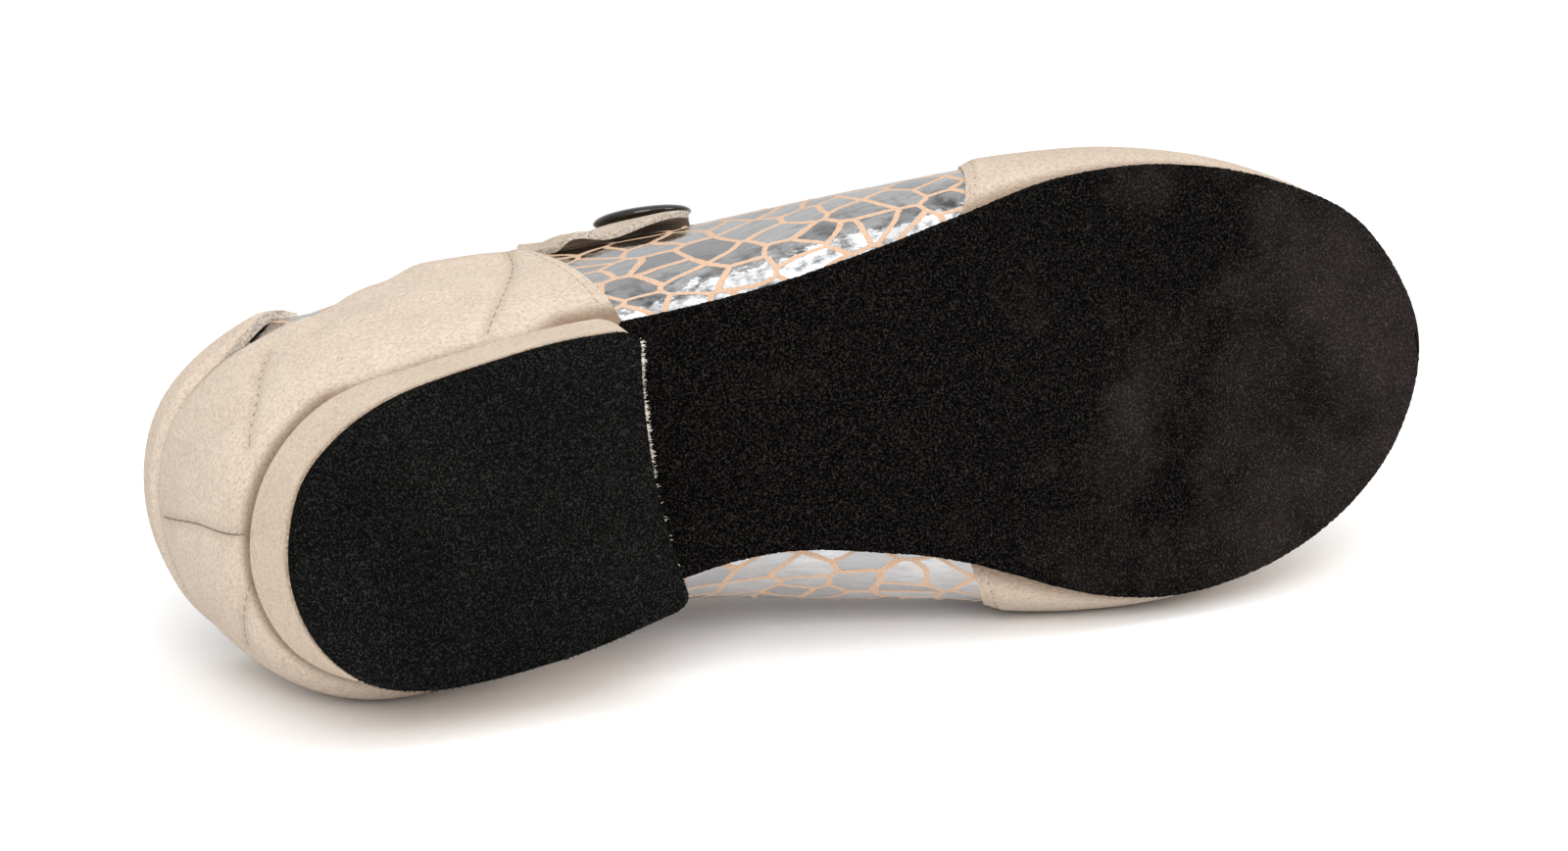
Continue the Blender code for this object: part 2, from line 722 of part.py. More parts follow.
def main():
    for obj in list(bpy.data.objects):
        bpy.data.objects.remove(obj)
    shoe, cutters = new_collection("dance_shoe"), new_collection("cutters")

    silver = finish_of("silver_crackle_leather", (0.62, 0.61, 0.60), 0.25, 0.8)
    sand = finish_of("sand_suede", (0.70, 0.58, 0.46), 0.95)
    heel_sand = finish_of("heel_suede", (0.70, 0.58, 0.46), 0.95)
    black = finish_of("black_sole_suede", (0.02, 0.02, 0.02), 1.0)
    lift_black = finish_of("black_lift_suede", (0.03, 0.03, 0.03), 1.0)
    cap_sand = finish_of("toe_cap_suede", (0.70, 0.58, 0.46), 0.95)
    tab_sand = finish_of("heel_tab_suede", (0.70, 0.58, 0.46), 0.95)
    strap_sand = finish_of("strap_suede", (0.66, 0.54, 0.43), 0.95)
    nickel = finish_of("black_nickel", (0.18, 0.17, 0.17), 0.12, 1.0)
    lining = finish_of("insole_leather", (0.66, 0.56, 0.45), 0.7)

    pieces = [
        make_upper(silver, shoe),
        make_outsole(black, shoe),
        make_heel_block(heel_sand, shoe, cutters),
        make_heel_lift(lift_black, shoe),
        make_insole(lining, shoe),
        make_counter(sand, shoe),
        make_toe_cap(cap_sand, shoe),
        make_heel_tab(tab_sand, shoe),
        make_strap(strap_sand, shoe),
        make_button(nickel, shoe),
    ]
    stand = bpy.data.objects.new("lying_shoe", None)
    shoe.objects.link(stand)
    lay_down(stand, pieces)
    for obj in [*pieces, *cutters.objects]:
        obj.parent = stand


main()
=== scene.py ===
"""A low-heeled dance shoe for the right foot, lying on its inner side, dressed over its solids.

The shoe's forms are worked out standing, in millimetres: x runs from the back of the heel to the
toe, y from the outer (lateral) side to the inner (medial) side, and z up from the floor.
"""

import math
from collections import namedtuple

import bmesh
import bpy
import numpy as np
from mathutils import Matrix, Vector
from mathutils.bvhtree import BVHTree


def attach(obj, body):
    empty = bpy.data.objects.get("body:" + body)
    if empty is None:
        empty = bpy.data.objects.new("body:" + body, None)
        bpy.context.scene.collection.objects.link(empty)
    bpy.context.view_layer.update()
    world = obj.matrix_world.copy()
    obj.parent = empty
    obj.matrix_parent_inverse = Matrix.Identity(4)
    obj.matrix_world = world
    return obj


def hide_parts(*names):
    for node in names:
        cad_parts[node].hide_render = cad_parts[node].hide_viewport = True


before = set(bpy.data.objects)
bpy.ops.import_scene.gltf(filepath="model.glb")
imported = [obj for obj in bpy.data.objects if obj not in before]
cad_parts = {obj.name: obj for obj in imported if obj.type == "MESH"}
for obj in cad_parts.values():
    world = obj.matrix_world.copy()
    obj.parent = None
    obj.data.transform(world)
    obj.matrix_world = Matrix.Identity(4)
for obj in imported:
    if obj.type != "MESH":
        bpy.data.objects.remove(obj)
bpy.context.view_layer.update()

MM = 0.001

# Sole and heel, in millimetres
GAP = 0.3
SOLE_THICKNESS = 2.6
TOE_SPRING = 5.0
TOE_BREAK_X = 190.0
BALL_REAR_X = 156.0
BREAST_X = 76.0
BREAST_INNER_X = 78.6
BREAST_HOLLOW = 2.8
BREAST_LEAN = 4.0
CORNER_STEPS = 6
BREAST_SEAT_HEIGHT = 16.6
BACK_SEAT_HEIGHT = 19.0
SEAT_SLOPE = (BREAST_SEAT_HEIGHT - BACK_SEAT_HEIGHT) / BREAST_X
SOLE_TUCK = 4.0
LIFT_THICKNESS = 2.4

# How far the heel's top piece lies inside the seat's edge, at even turns from the inner front
# corner round the back to the outer front corner
LIFT_TURN = 4.0
LIFT_INSETS = (
    -1.6, -0.5, 0.85, 0.85, 0.2, -0.4, 0.05, 0.2, 0.28, 0.15, -0.15, 0.5, 1.15, 1.4, 1.0, -0.1, -0.3,
)

# How far the heel cover's rim lies inside the seat's edge, at even turns from the middle of the back
# to the outer front corner. On the inner side it stays as at the back.
SEAT_INSETS = (
    -1.0, -1.0, -1.0, -1.0, -1.0, -1.0, -1.0, -0.8, -0.3, 0.3, 0.8, 0.7, 0.5, 0.0, -0.9, -1.5, -1.4,
)

# Upper and what is laid on it, in millimetres
FEATHER_INSET = 1.8
WALL = 2.2
SUEDE = 1.2
HEEL_TAB_THICKNESS = 2.2
INSOLE_THICKNESS = 2.0
INSOLE_INSET = 0.6
STRAP_THICKNESS = 1.35
STRAP_STAND_OFF = 0.4
BUTTON_DIAMETER = 20.0
BUTTON_LIFT = 3.2
BUTTON_WAY = (0.101, -0.966, 0.236)
BUTTON_PRESS = 14.0
PRESS_RUN = 6.5
PRESS_GAP = 0.1

# How far the strap's lateral end stands over the upper, at even steps from its rear edge over
# the hump and the dip to its front edge
STRAP_LIFTS = (0.5, 2.15, 2.2, 1.5, 0.95, 1.0, 1.3, 1.7, 2.05, 2.25, 2.2, 1.9, 1.4)

# The collar's lean and the floor under the shoe
COLLAR_LEAN = 7.6
LEAN_LOW_Z = 24.0
LEAN_HIGH_Z = 70.0
LEAN_FRONT_X = 150.0
LEAN_RUN = 100.0
LEAN_POWER = 1.5
COLLAR_HOLLOW = 1.95
HOLLOW_REAR_X = 28.0
HOLLOW_FRONT_X = 59.0
HOLLOW_RUN = 8.5
HOLLOW_LOW_Z = 38.0
HOLLOW_RISE = 24.0
HOLLOW_SIDE_Y = -5.0
HOLLOW_SIDE_RUN = 10.0
FLOOR_YAW = 0.062
FLOOR_TILT = 0.16
FLOOR_REACH = 37.4
SHOE_ORIGIN = (-0.12456583, -0.03989292, 0.03688415)

# Where the pieces laid on the upper end: places count rows of the section table
COUNTER_FRONT = 4.05
COUNTER_BACK_TOP = 0.58
COUNTER_FRONT_TOP = 0.99
COUNTER_RISE_FROM = 2.46
COUNTER_RISE_RUN = 0.5
TAB_FRONT = 2.4
TAB_FOOT = 0.582
TAB_FOOT_RISE = 0.395
TAB_RISE_FROM = 1.75
CAP_FOOT_PLACE = 7.0
CAP_LEAN = 0.95
CAP_LEAN_REACH = 0.3
CAP_BLEND = 8.0
STRAP_REAR = 4.16
STRAP_FRONT = 5.24
STRAP_SPREAD = 0.18
STRAP_TUCK = 0.13
STRAP_TUCK_DEPTH = 0.8
STRAP_SWELL = 3.2
BUTTON_PLACE = 5.01
LOWER_SHARE = 0.25
STRAP_END = 0.29
STRAP_END_ROUND = 0.06
STRAP_END_POWER = 5
REAR_CORNER = 0.2
STRAP_LIFT_REACH = 0.3
BUTTON_SHARE = 0.455
FEATHER_START = math.radians(20)
EDGE_STEP = 0.02
FACE_STEP = 0.004
SHARP_TURN = math.radians(50)
MERGE_DISTANCE = 0.00001
HALVINGS = 40

# One row for each section from heel to toe, as in the shoe's solids
Section = namedtuple(
    "Section",
    "name lat_x lat_y lat_flare lat_girth med_x med_y med_flare med_girth ridge_x fullness top",
)
SECTIONS = [Section(*row) for row in (
    ("heel_back", 1.6, 2.0, 1.6, 22, 1.6, 2.0, 1.6, 22, 38, 2.4, 68),
    ("heel_turn", 7.5, -15.0, 2.6, 22, 7.5, 18.5, 3.2, 19, 40, 2.4, 67),
    ("heel", 24.0, -26.6, 2.4, 24, 24.0, 27.6, 4.8, 16, 46, 2.5, 64),
    ("seat", 50.0, -30.2, 4.6, 26, 50.0, 28.6, 4.5, 18, 61, 2.5, 60),
    ("breast", 79.0, -29.0, 7.6, 26, 79.0, 21.8, 8.0, 22, 85, 2.4, 57),
    ("waist", 105.0, -30.4, 9.2, 25, 103.0, 19.5, 12.2, 24, 112, 2.3, 57),
    ("shank", 127.0, -34.0, 8.4, 22, 124.0, 23.4, 11.8, 22, 140, 2.2, 60),
    ("cap_edge", 146.0, -37.8, 6.0, 18, 139.0, 28.2, 9.5, 18, 166, 2.1, 64),
    ("ball", 168.0, -41.3, 2.7, 14, 166.0, 40.2, 3.5, 15, 182, 2.1, 66),
    ("ball_front", 192.0, -40.0, 1.2, 13, 190.0, 43.8, 1.0, 13, 196, 2.2, 66),
    ("toe", 216.0, -32.8, 0.8, 12, 217.0, 38.6, 0.8, 12, 208, 2.3, 66),
    ("toe_turn", 237.5, -19.5, 0.4, 11, 239.0, 24.8, 0.4, 11, 216, 2.3, 66),
    ("toe_tip", 248.5, 3.8, 0.4, 11, 248.5, 3.8, 0.4, 11, 219, 2.3, 66),
)]

# The ridge along the top of the foot: x, y and z
RIDGE_TABLE = np.array([
    (20, 1, 104), (60, 2, 94), (100, 4, 79), (140, 6, 64.5), (175, 6, 51), (205, 5, 41), (225, 4, 36),
])

# Seams sewn through the counter: places round the shoe and heights over the floor
SIDE_SEAM = [(3.86, 55.0), (3.72, 44.0), (3.45, 31.7), (3.15, 20.6)]
REAR_SEAM = [(1.90, 46.5), (1.70, 41.0), (1.50, 34.8), (1.12, 27.5)]
INNER_SEAM = [(23.80, 22.5), (23.45, 27.6), (23.05, 34.0)]
BACK_SEAM = [(0.05, 57.0), (0.25, 40.0), (0.30, 25.6), (0.35, 20.6)]

LAST_ROW = len(SECTIONS) - 1
LOOP = 2 * LAST_ROW


def loop_column(lat, med):
    """A column's values once round the shoe: out along the lateral side, back along the medial."""
    outward = [getattr(section, lat) for section in SECTIONS]
    homeward = [getattr(section, med) for section in SECTIONS[-2:0:-1]]
    return np.array(outward + homeward, float)


COLUMNS = {name: loop_column("lat_" + name, "med_" + name) for name in ("x", "y", "flare", "girth")}
COLUMNS.update((name, loop_column(name, name)) for name in ("ridge_x", "fullness", "top"))


def eased(value, start, run):
    """A smooth step from 0 at start to 1 a run further on. A negative run goes the other way."""
    f = np.clip((value - start) / run, 0.0, 1.0)
    return f * f * (3 - 2 * f)


def bell(x):
    return np.exp(-(x**2))


def blend(low, high, share):
    return low + (high - low) * share


def unit(ways):
    return ways / np.linalg.norm(ways, axis=-1, keepdims=True)


def bisected(low, high, is_under):
    """The values between low and high at which is_under ends."""
    for _ in range(HALVINGS):
        middle = (low + high) / 2
        under = is_under(middle)
        low, high = np.where(under, middle, low), np.where(under, high, middle)
    return high


def cubic(p0, p1, p2, p3, f):
    """A Catmull-Rom curve from p1 to p2."""
    return p1 + 0.5 * f * (
        p2 - p0 + f * (2 * p0 - 5 * p1 + 4 * p2 - p3 + f * (3 * (p1 - p2) + p3 - p0))
    )


def along_table(values, share):
    """Values at shares of an even table's length, on a smooth curve through it."""
    values = np.asarray(values, float)
    last = len(values) - 1
    at = np.asarray(share, float) * last
    i = np.clip(np.floor(at).astype(int), 0, last - 1)
    return cubic(*(values[np.clip(i + j, 0, last)] for j in (-1, 0, 1, 2)), at - i)


def around(column, s):
    """A column's values at places s round the shoe: 0 at the heel, LAST_ROW at the toe tip."""
    values = COLUMNS[column]
    i = np.floor(s).astype(int)
    return cubic(*(values[(i + j) % LOOP] for j in (-1, 0, 1, 2)), s - i)


def ridge_points(x):
    last = len(RIDGE_TABLE) - 1
    i = np.clip(np.searchsorted(RIDGE_TABLE[:, 0], x, side="right") - 1, 0, last - 1)
    rows = [RIDGE_TABLE[np.clip(i + j, 0, last)] for j in (-1, 0, 1, 2)]
    f = (x - rows[1][..., 0]) / (rows[2][..., 0] - rows[1][..., 0])
    y = cubic(*(row[..., 1] for row in rows), f)
    z = cubic(*(row[..., 2] for row in rows), f)
    return np.stack([x, y, z], -1)


def sole_top(x):
    """The height of the sole's upper face."""
    x = np.asarray(x, float)
    rise = np.maximum(0.0, (x - TOE_BREAK_X) / (SECTIONS[-1].lat_x - TOE_BREAK_X))
    fore = SOLE_THICKNESS + TOE_SPRING * rise**2
    seat = BACK_SEAT_HEIGHT + SEAT_SLOPE * x
    span = BALL_REAR_X - BREAST_X
    f = np.clip((x - BREAST_X) / span, 0.0, 1.0)
    drop = (BREAST_SEAT_HEIGHT - SOLE_THICKNESS) * eased(f, 0.0, 1.0)
    arch = BREAST_SEAT_HEIGHT - drop + SEAT_SLOPE * span * f * (1 - f) ** 2
    return np.where(x >= BALL_REAR_X, fore, np.where(x <= BREAST_X, seat, arch))


def edge_points(s, inset=0.0):
    """The sole's edge at places s, moved inwards by inset."""
    s = np.asarray(s, float)
    tx = around("x", s + EDGE_STEP) - around("x", s - EDGE_STEP)
    ty = around("y", s + EDGE_STEP) - around("y", s - EDGE_STEP)
    length = np.hypot(tx, ty)
    x = around("x", s) - inset * ty / length
    y = around("y", s) + inset * tx / length
    return np.stack([x, y, np.zeros_like(x)], -1)


def settled(points):
    """Points carried by the collar's lean and its outer hollow, and held back by the floor."""
    x, y, z = np.moveaxis(points, -1, 0)
    height = np.maximum(0.0, (z - LEAN_LOW_Z) / (LEAN_HIGH_Z - LEAN_LOW_Z))
    y -= COLLAR_LEAN * eased(x, LEAN_FRONT_X, -LEAN_RUN) * height**LEAN_POWER
    hollow = eased(x, HOLLOW_REAR_X, HOLLOW_RUN) * eased(x, HOLLOW_FRONT_X, -HOLLOW_RUN)
    hollow *= eased(z, HOLLOW_LOW_Z, HOLLOW_RISE) * eased(y, HOLLOW_SIDE_Y, -HOLLOW_SIDE_RUN)
    y += COLLAR_HOLLOW * hollow
    floor = FLOOR_REACH + FLOOR_YAW * x - FLOOR_TILT * z
    np.minimum(y, floor - GAP - SUEDE, out=y)
    return points


def dome_points(s, t):
    """The upper's outer face: t is 0 at the feather edge, LOWER_SHARE widest, 1 at the ridge."""
    s, t = np.broadcast_arrays(np.asarray(s, float), np.asarray(t, float))
    flare, girth = around("flare", s), around("girth", s)
    floor = sole_top(edge_points(s)[..., 0]) + GAP
    low_turn = blend(FEATHER_START, math.pi / 2, np.clip(t / LOWER_SHARE, 0, 1))
    out = (np.sin(low_turn) - math.sin(FEATHER_START)) / (1 - math.sin(FEATHER_START))
    lower = edge_points(s, FEATHER_INSET - (FEATHER_INSET + flare) * out)
    lower[..., 2] = floor + girth * (1 - np.cos(low_turn) / math.cos(FEATHER_START))
    turn = math.pi / 2 * np.clip((t - LOWER_SHARE) / (1 - LOWER_SHARE), 0, 1)
    power = 2 / around("fullness", s)
    spread = np.maximum(0.0, np.cos(turn)) ** power
    rise = np.sin(turn) ** power
    ridge = ridge_points(around("ridge_x", s))
    widest = edge_points(s, -flare)
    upper = blend(ridge, widest, spread[..., None])
    upper[..., 2] = blend(floor + girth, ridge[..., 2], rise)
    return settled(np.where((t <= LOWER_SHARE)[..., None], lower, upper))


def topline(s):
    """The t at which the upper ends: its topline, or the ridge where the vamp is closed."""
    widest_z = sole_top(edge_points(s)[..., 0]) + GAP + around("girth", s)
    ridge_z = ridge_points(around("ridge_x", s))[..., 2]
    share = np.clip((around("top", s) - widest_z) / (ridge_z - widest_z), 0, 1)
    turn = np.arcsin(share ** (around("fullness", s) / 2))
    return blend(LOWER_SHARE, 1.0, turn / (math.pi / 2))


def profile_share(s, row):
    """The t at a row of the profile: -1 feather edge, 0 widest line, 1 topline."""
    return np.where(row < 0, LOWER_SHARE * (1 + row), blend(LOWER_SHARE, topline(s), row))


def side_normals(s, t):
    t = np.clip(t, FACE_STEP, 1 - 2 * FACE_STEP)
    along = dome_points(s + FACE_STEP, t) - dome_points(s - FACE_STEP, t)
    up = dome_points(s, t + FACE_STEP) - dome_points(s, t - FACE_STEP)
    return unit(np.cross(along, up))


def dome_normals(s, t):
    """The outward direction of the upper's outer face. Both sides share it on the ridge."""
    s, t = np.broadcast_arrays(np.asarray(s, float), np.asarray(t, float))
    normals = side_normals(s, t)
    both = unit(normals + side_normals(LOOP - s, t))
    return np.where((t >= 1)[..., None], both, normals)


def laid_on(s, t, height):
    """Points that stand over the upper's outer face by height."""
    height = np.asarray(height, float)
    return dome_points(s, t) + dome_normals(s, t) * height[..., None]


def share_at_height(s, z):
    """The t whose point on the upper's outer face lies z over the floor."""
    return bisected(np.zeros_like(s), np.ones_like(s), lambda t: dome_points(s, t)[..., 2] < z)


def lying_turn():
    """The turn that lays the standing shoe on its medial side."""
    down = Vector((-FLOOR_YAW, 1.0, FLOOR_TILT)).normalized()
    toe = Vector((1.0, 0.0, 0.0))
    forward = (toe - down * toe.dot(down)).normalized()
    return np.array(Matrix((forward, -down.cross(forward), -down)))


TURN = lying_turn()


def lying(points):
    """Places of the standing shoe in millimetres, as places of the lying shoe in metres."""
    return np.asarray(points, float) * MM @ TURN.T + np.array(SHOE_ORIGIN)


def lying_way(ways):
    return np.asarray(ways, float) @ TURN.T


def steps(low, high, count):
    return np.linspace(low, high, count + 1)


def both_ways(places):
    """Places from 0, with their mirrored ones on the medial side before them."""
    return np.concatenate([-places[:0:-1], places])


def formed_sheet(across, along, place, spread=None, shade=None):
    """A grid with its corners at place(a, b), its pattern's metres and the painted shade of its
    creases.
    """
    bm = bmesh.new()
    bmesh.ops.create_grid(bm, x_segments=len(across) - 1, y_segments=len(along) - 1, size=1)
    grid = np.array([vert.co[:2] for vert in bm.verts])
    a, b = (
        values[np.rint((column + 1) / 2 * (len(values) - 1)).astype(int)]
        for values, column in zip((across, along), grid.T)
    )
    for vert, spot in zip(bm.verts, lying(place(a, b))):
        vert.co = spot
    if shade is not None:
        shade_and_wear = bm.verts.layers.float.new("shade")
        for vert, share in zip(bm.verts, np.clip(shade(a, b), 0.0, 1.0)):
            vert[shade_and_wear] = share
    if spread is not None:
        pattern = bm.loops.layers.uv.new("surface")
        spots = spread(a, b)
        bm.verts.index_update()
        for face in bm.faces:
            for loop in face.loops:
                loop[pattern].uv = spots[loop.vert.index]
    bmesh.ops.remove_doubles(bm, verts=bm.verts, dist=MERGE_DISTANCE)
    bmesh.ops.dissolve_degenerate(bm, edges=bm.edges, dist=MERGE_DISTANCE)
    return bm


def face_away(bm, inside):
    """Turns the faces away from an inside place of the standing shoe."""
    bm.normal_update()
    inside = Vector(lying(inside))
    outward = sum(f.calc_area() * f.normal.dot(f.calc_center_median() - inside) for f in bm.faces)
    if outward < 0:
        bmesh.ops.reverse_faces(bm, faces=bm.faces)


def pointed(place, way):
    """The place and turn of what points along a way."""
    return Matrix.Translation(place) @ Vector(way).to_track_quat("Z", "Y").to_matrix().to_4x4()


def meshed(name, bm, finishes):
    mesh = bpy.data.meshes.new(name)
    bm.to_mesh(mesh)
    bm.free()
    for finish in finishes:
        mesh.materials.append(finish)
    return mesh


def in_scene(name, data):
    made = bpy.data.objects.new(name, data)
    bpy.context.scene.collection.objects.link(made)
    return made


def finished_piece(name, bm, finishes, node=None):
    """Makes the piece, lets it ride with the shoe and stand for its solid."""
    mesh = meshed(name, bm, finishes)
    mesh.shade_smooth()
    mesh.set_sharp_from_angle(angle=SHARP_TURN)
    piece = in_scene(name, mesh)
    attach(piece, "root")
    if node:
        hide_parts(node)
    return piece


def sheet_piece(name, bm, inside, layers, node, thickness, softness, grown=-1, segments=2):
    """A thickened sheet with finishes for face, back and rim. Gives the face that seams lie on."""
    face_away(bm, inside)
    face = BVHTree.FromBMesh(bm)
    piece = finished_piece(name, bm, layers, node)
    wall = piece.modifiers.new("thickness", "SOLIDIFY")
    wall.thickness = thickness * MM
    wall.offset = grown
    if len(layers) > 1:
        wall.material_offset = 1
        wall.material_offset_rim = 2
    bevel = piece.modifiers.new("softened_edges", "BEVEL")
    bevel.width = softness * MM
    bevel.segments = segments
    bevel.limit_method = "ANGLE"
    bevel.angle_limit = SHARP_TURN
    bevel.harden_normals = False
    return face


# Seams

SEAM_STEPS = 40
SEAM_REACH = 6.0
TURN_STEP = 0.4
HOLE_WIDTHS = (0.24, 0.36)
HOLE_FLATNESS = 0.8
HOLE_DEPTH = 0.14
SHORTEST_DASH = 0.4
DASH_STEP = 0.7
DASH_TIP = 0.35
DASH_CROWN = 0.07


def points_at(points, run, at):
    """Places at lengths along a line."""
    return np.stack([np.interp(at, run, column) for column in points.T], -1)


def lengths_along(points):
    return np.concatenate([[0], np.cumsum(np.linalg.norm(np.diff(points, axis=0), axis=1))])


def path_over(places, shares):
    """A line over the upper: places, shares and points on its outer face."""
    return places, shares, dome_points(places, shares)


def seam_path(table):
    run = steps(0, 1, (len(table) - 1) * SEAM_STEPS)
    places, heights = (along_table(column, run) for column in zip(*table))
    return path_over(places, share_at_height(places, heights))


def distance_to(points, line):
    nearest = np.full(len(points), np.inf)
    for spot in line:
        nearest = np.minimum(nearest, np.linalg.norm(points - spot, axis=-1))
    return nearest


Thread = namedtuple("Thread", "spots ups run")


def traced(face_tree, seam):
    """A seam carried to a piece's outer face, and the millimetres run along it."""
    places, shares, line = seam
    ups = lying_way(dome_normals(places, shares))
    spots = []
    for point, up in zip(lying(line), ups):
        way = Vector(up).normalized()
        start = Vector(point) + way * SEAM_REACH * MM
        hit = face_tree.ray_cast(start, -way, 2 * SEAM_REACH * MM)[0]
        spots.append(hit if hit is not None else Vector(point))
    spots = np.array(spots)
    return Thread(spots, ups, lengths_along(spots) / MM)


def seam_turn(line, at):
    """The place and turn of what lies along a seam, at a length along it."""
    centre, ahead, behind = (
        Vector(points_at(line.spots, line.run, length))
        for length in (at, at + TURN_STEP, at - TURN_STEP)
    )
    along = (ahead - behind).normalized()
    across = Vector(points_at(line.ups, line.run, at)).cross(along).normalized()
    turn = Matrix((along, across, along.cross(across))).transposed().to_4x4()
    return Matrix.Translation(centre) @ turn


def sized(*half_sizes):
    return Matrix.Diagonal([size * MM for size in half_sizes] + [1.0])


def sewn_row(name, face_tree, seam, pitch, length=1.9, thickness=0.16):
    """A row of sunk stitches along a seam, with dark discs of painted shade for their holes."""
    line = traced(face_tree, seam)
    rng = np.random.default_rng(len(name))
    bm = bmesh.new()
    for at in np.arange(pitch / 2, line.run[-1] - pitch / 2, pitch):
        place = seam_turn(line, at) @ sized(length / 2, thickness, thickness)
        bmesh.ops.create_uvsphere(bm, u_segments=8, v_segments=5, radius=1, matrix=place)
        wide = rng.uniform(*HOLE_WIDTHS)
        place = seam_turn(line, at + pitch / 2) @ sized(wide, wide * HOLE_FLATNESS, HOLE_DEPTH)
        made = bmesh.ops.create_icosphere(bm, subdivisions=1, radius=1, matrix=place)
        for face in {face for vert in made["verts"] for face in vert.link_faces}:
            face.material_index = 1
    finished_piece(name, bm, [thread, holes])


def seam_line(name, face_tree, seam, width, finish, dash=None, gap=0.0):
    """A strip of painted shade along a seam on the counter: whole, or in dashes. Its ends are thin."""
    line = traced(face_tree, seam)
    length = line.run[-1]
    bm = bmesh.new()
    for start in np.arange(0.0, length - SHORTEST_DASH, (dash or length) + gap):
        end = min(start + (dash or length), length)
        count = max(3, round((end - start) / DASH_STEP))
        made = bmesh.ops.create_grid(bm, x_segments=count, y_segments=2, size=1)
        for vert in made["verts"]:
            i = round((vert.co.x + 1) / 2 * count)
            place = seam_turn(line, start + (end - start) * i / count)
            side = round(vert.co.y) * width / 2 * (DASH_TIP if i in (0, count) else 1.0)
            vert.co = place @ (Vector((0.0, side, DASH_CROWN if side == 0 else 0.0)) * MM)
    bmesh.ops.recalc_face_normals(bm, faces=bm.faces)
    finished_piece(name, bm, [finish])


# Finishes

BLACK = (0.0, 0.0, 0.0)
GREY = (0.5, 0.5, 0.5)
WHITE = (1.0, 1.0, 1.0)


class Finish:
    """A material's node tree, built up from its Principled shader."""

    def __init__(self, name, **sockets):
        self.made = bpy.data.materials.new(name)
        self.made.use_nodes = True
        self.nodes = self.made.node_tree.nodes
        self.show(**sockets)

    def feed(self, node, values):
        """Links a node's inputs to their sources, or sets them. Colours get their alpha."""
        for key, value in values.items():
            socket = node.inputs[key.replace("_", " ") if isinstance(key, str) else key]
            if isinstance(value, bpy.types.NodeSocket):
                self.made.node_tree.links.new(value, socket)
            elif isinstance(value, tuple) and len(value) < len(socket.default_value):
                socket.default_value = (*value, 1.0)
            else:
                socket.default_value = value

    def show(self, **sockets):
        self.feed(self.nodes["Principled BSDF"], sockets)
        return self.made

    def node(self, kind, output, settings=None, numbered=None, **inputs):
        """A new node's output, its inputs fed by number or by name."""
        made = self.nodes.new("ShaderNode" + kind)
        for key, value in (settings or {}).items():
            setattr(made, key, value)
        self.feed(made, numbered or inputs)
        return made.outputs[output]

    def place(self, scale=(1, 1, 1), turn=(0, 0, 0), surface=False):
        """Places in the piece, or on its surface pattern."""
        if surface:
            source = self.node("UVMap", "UV", {"uv_map": "surface"})
        else:
            source = self.node("TexCoord", "Object")
        return self.node("Mapping", "Vector", Vector=source, Scale=scale, Rotation=turn)

    def noise(self, place, scale, detail=2.0, roughness=0.5, output="Fac"):
        inputs = {"Vector": place, "Scale": scale, "Detail": detail, "Roughness": roughness}
        return self.node("TexNoise", output, **inputs)

    def ramp(self, value, *stops):
        colour = self.node("ValToRGB", "Color", Fac=value)
        elements = colour.node.color_ramp.elements
        while len(elements) < len(stops):
            elements.new(0.5)
        for element, (at, tone) in zip(elements, stops):
            element.position = at
            element.color = (*tone, 1.0)
        return colour

    def between(self, share, low, high, clamp=True):
        """A number from low to high as share goes from 0 to 1."""
        return self.node("MapRange", "Result", {"clamp": clamp}, Value=share, To_Min=low, To_Max=high)

    def graded(self, place, axis, start, end, low=0.0, high=1.0):
        """A number from low to high between two places on an axis."""
        at = self.node("SeparateXYZ", axis, Vector=place)
        limits = {"From_Min": start, "From_Max": end, "To_Min": low, "To_Max": high}
        return self.node("MapRange", "Result", Value=at, **limits)

    def mixed(self, share, a, b, blend="MIX"):
        return self.node("Mix", 2, {"data_type": "RGBA", "blend_type": blend}, {0: share, 6: a, 7: b})

    def joined(self, how, *values, kind="Math"):
        return self.node(kind, 0, {"operation": how}, dict(enumerate(values)))

    def bump(self, height, strength, distance, under=None):
        below = {"Normal": under} if under else {}
        return self.node("Bump", "Normal", Height=height, Strength=strength, Distance=distance, **below)


def suede(name, dark, light):
    """Brushed suede: nap brushed in patches, a fine grain, a sheen, and painted shade from the shade
    layer.
    """
    made = Finish(name, Specular_IOR_Level=0.12, Sheen_Weight=0.14, Sheen_Roughness=0.6)
    place = made.place()
    brushed = made.noise(place, 70, 4, 0.6)
    patches = made.ramp(brushed, (0.32, dark), (0.68, light))
    nap = made.noise(made.place((0.75, 1.0, 1.0), (0.0, 0.35, 0.3)), 1550, 3, 0.72)
    fleck = made.ramp(nap, (0.30, (0.74, 0.71, 0.68)), (0.52, WHITE), (0.72, (1.14, 1.15, 1.16)))
    napped = made.mixed(1.0, patches, fleck, "MULTIPLY")
    # The shade layer darkens the colour: painted shade in creases, valleys and along seams, and wear at
    # the heel cover's foot.
    shade_and_wear = made.node("Attribute", "Fac", {"attribute_name": "shade"})
    return made.show(
        Base_Color=made.mixed(shade_and_wear, napped, (0.34, 0.26, 0.20), "MULTIPLY"),
        Roughness=made.between(made.noise(place, 2600, 2, 0.6), 0.86, 1.0),
        Normal=made.bump(nap, 0.9, 0.0009, made.bump(brushed, 0.4, 0.0016)),
    )


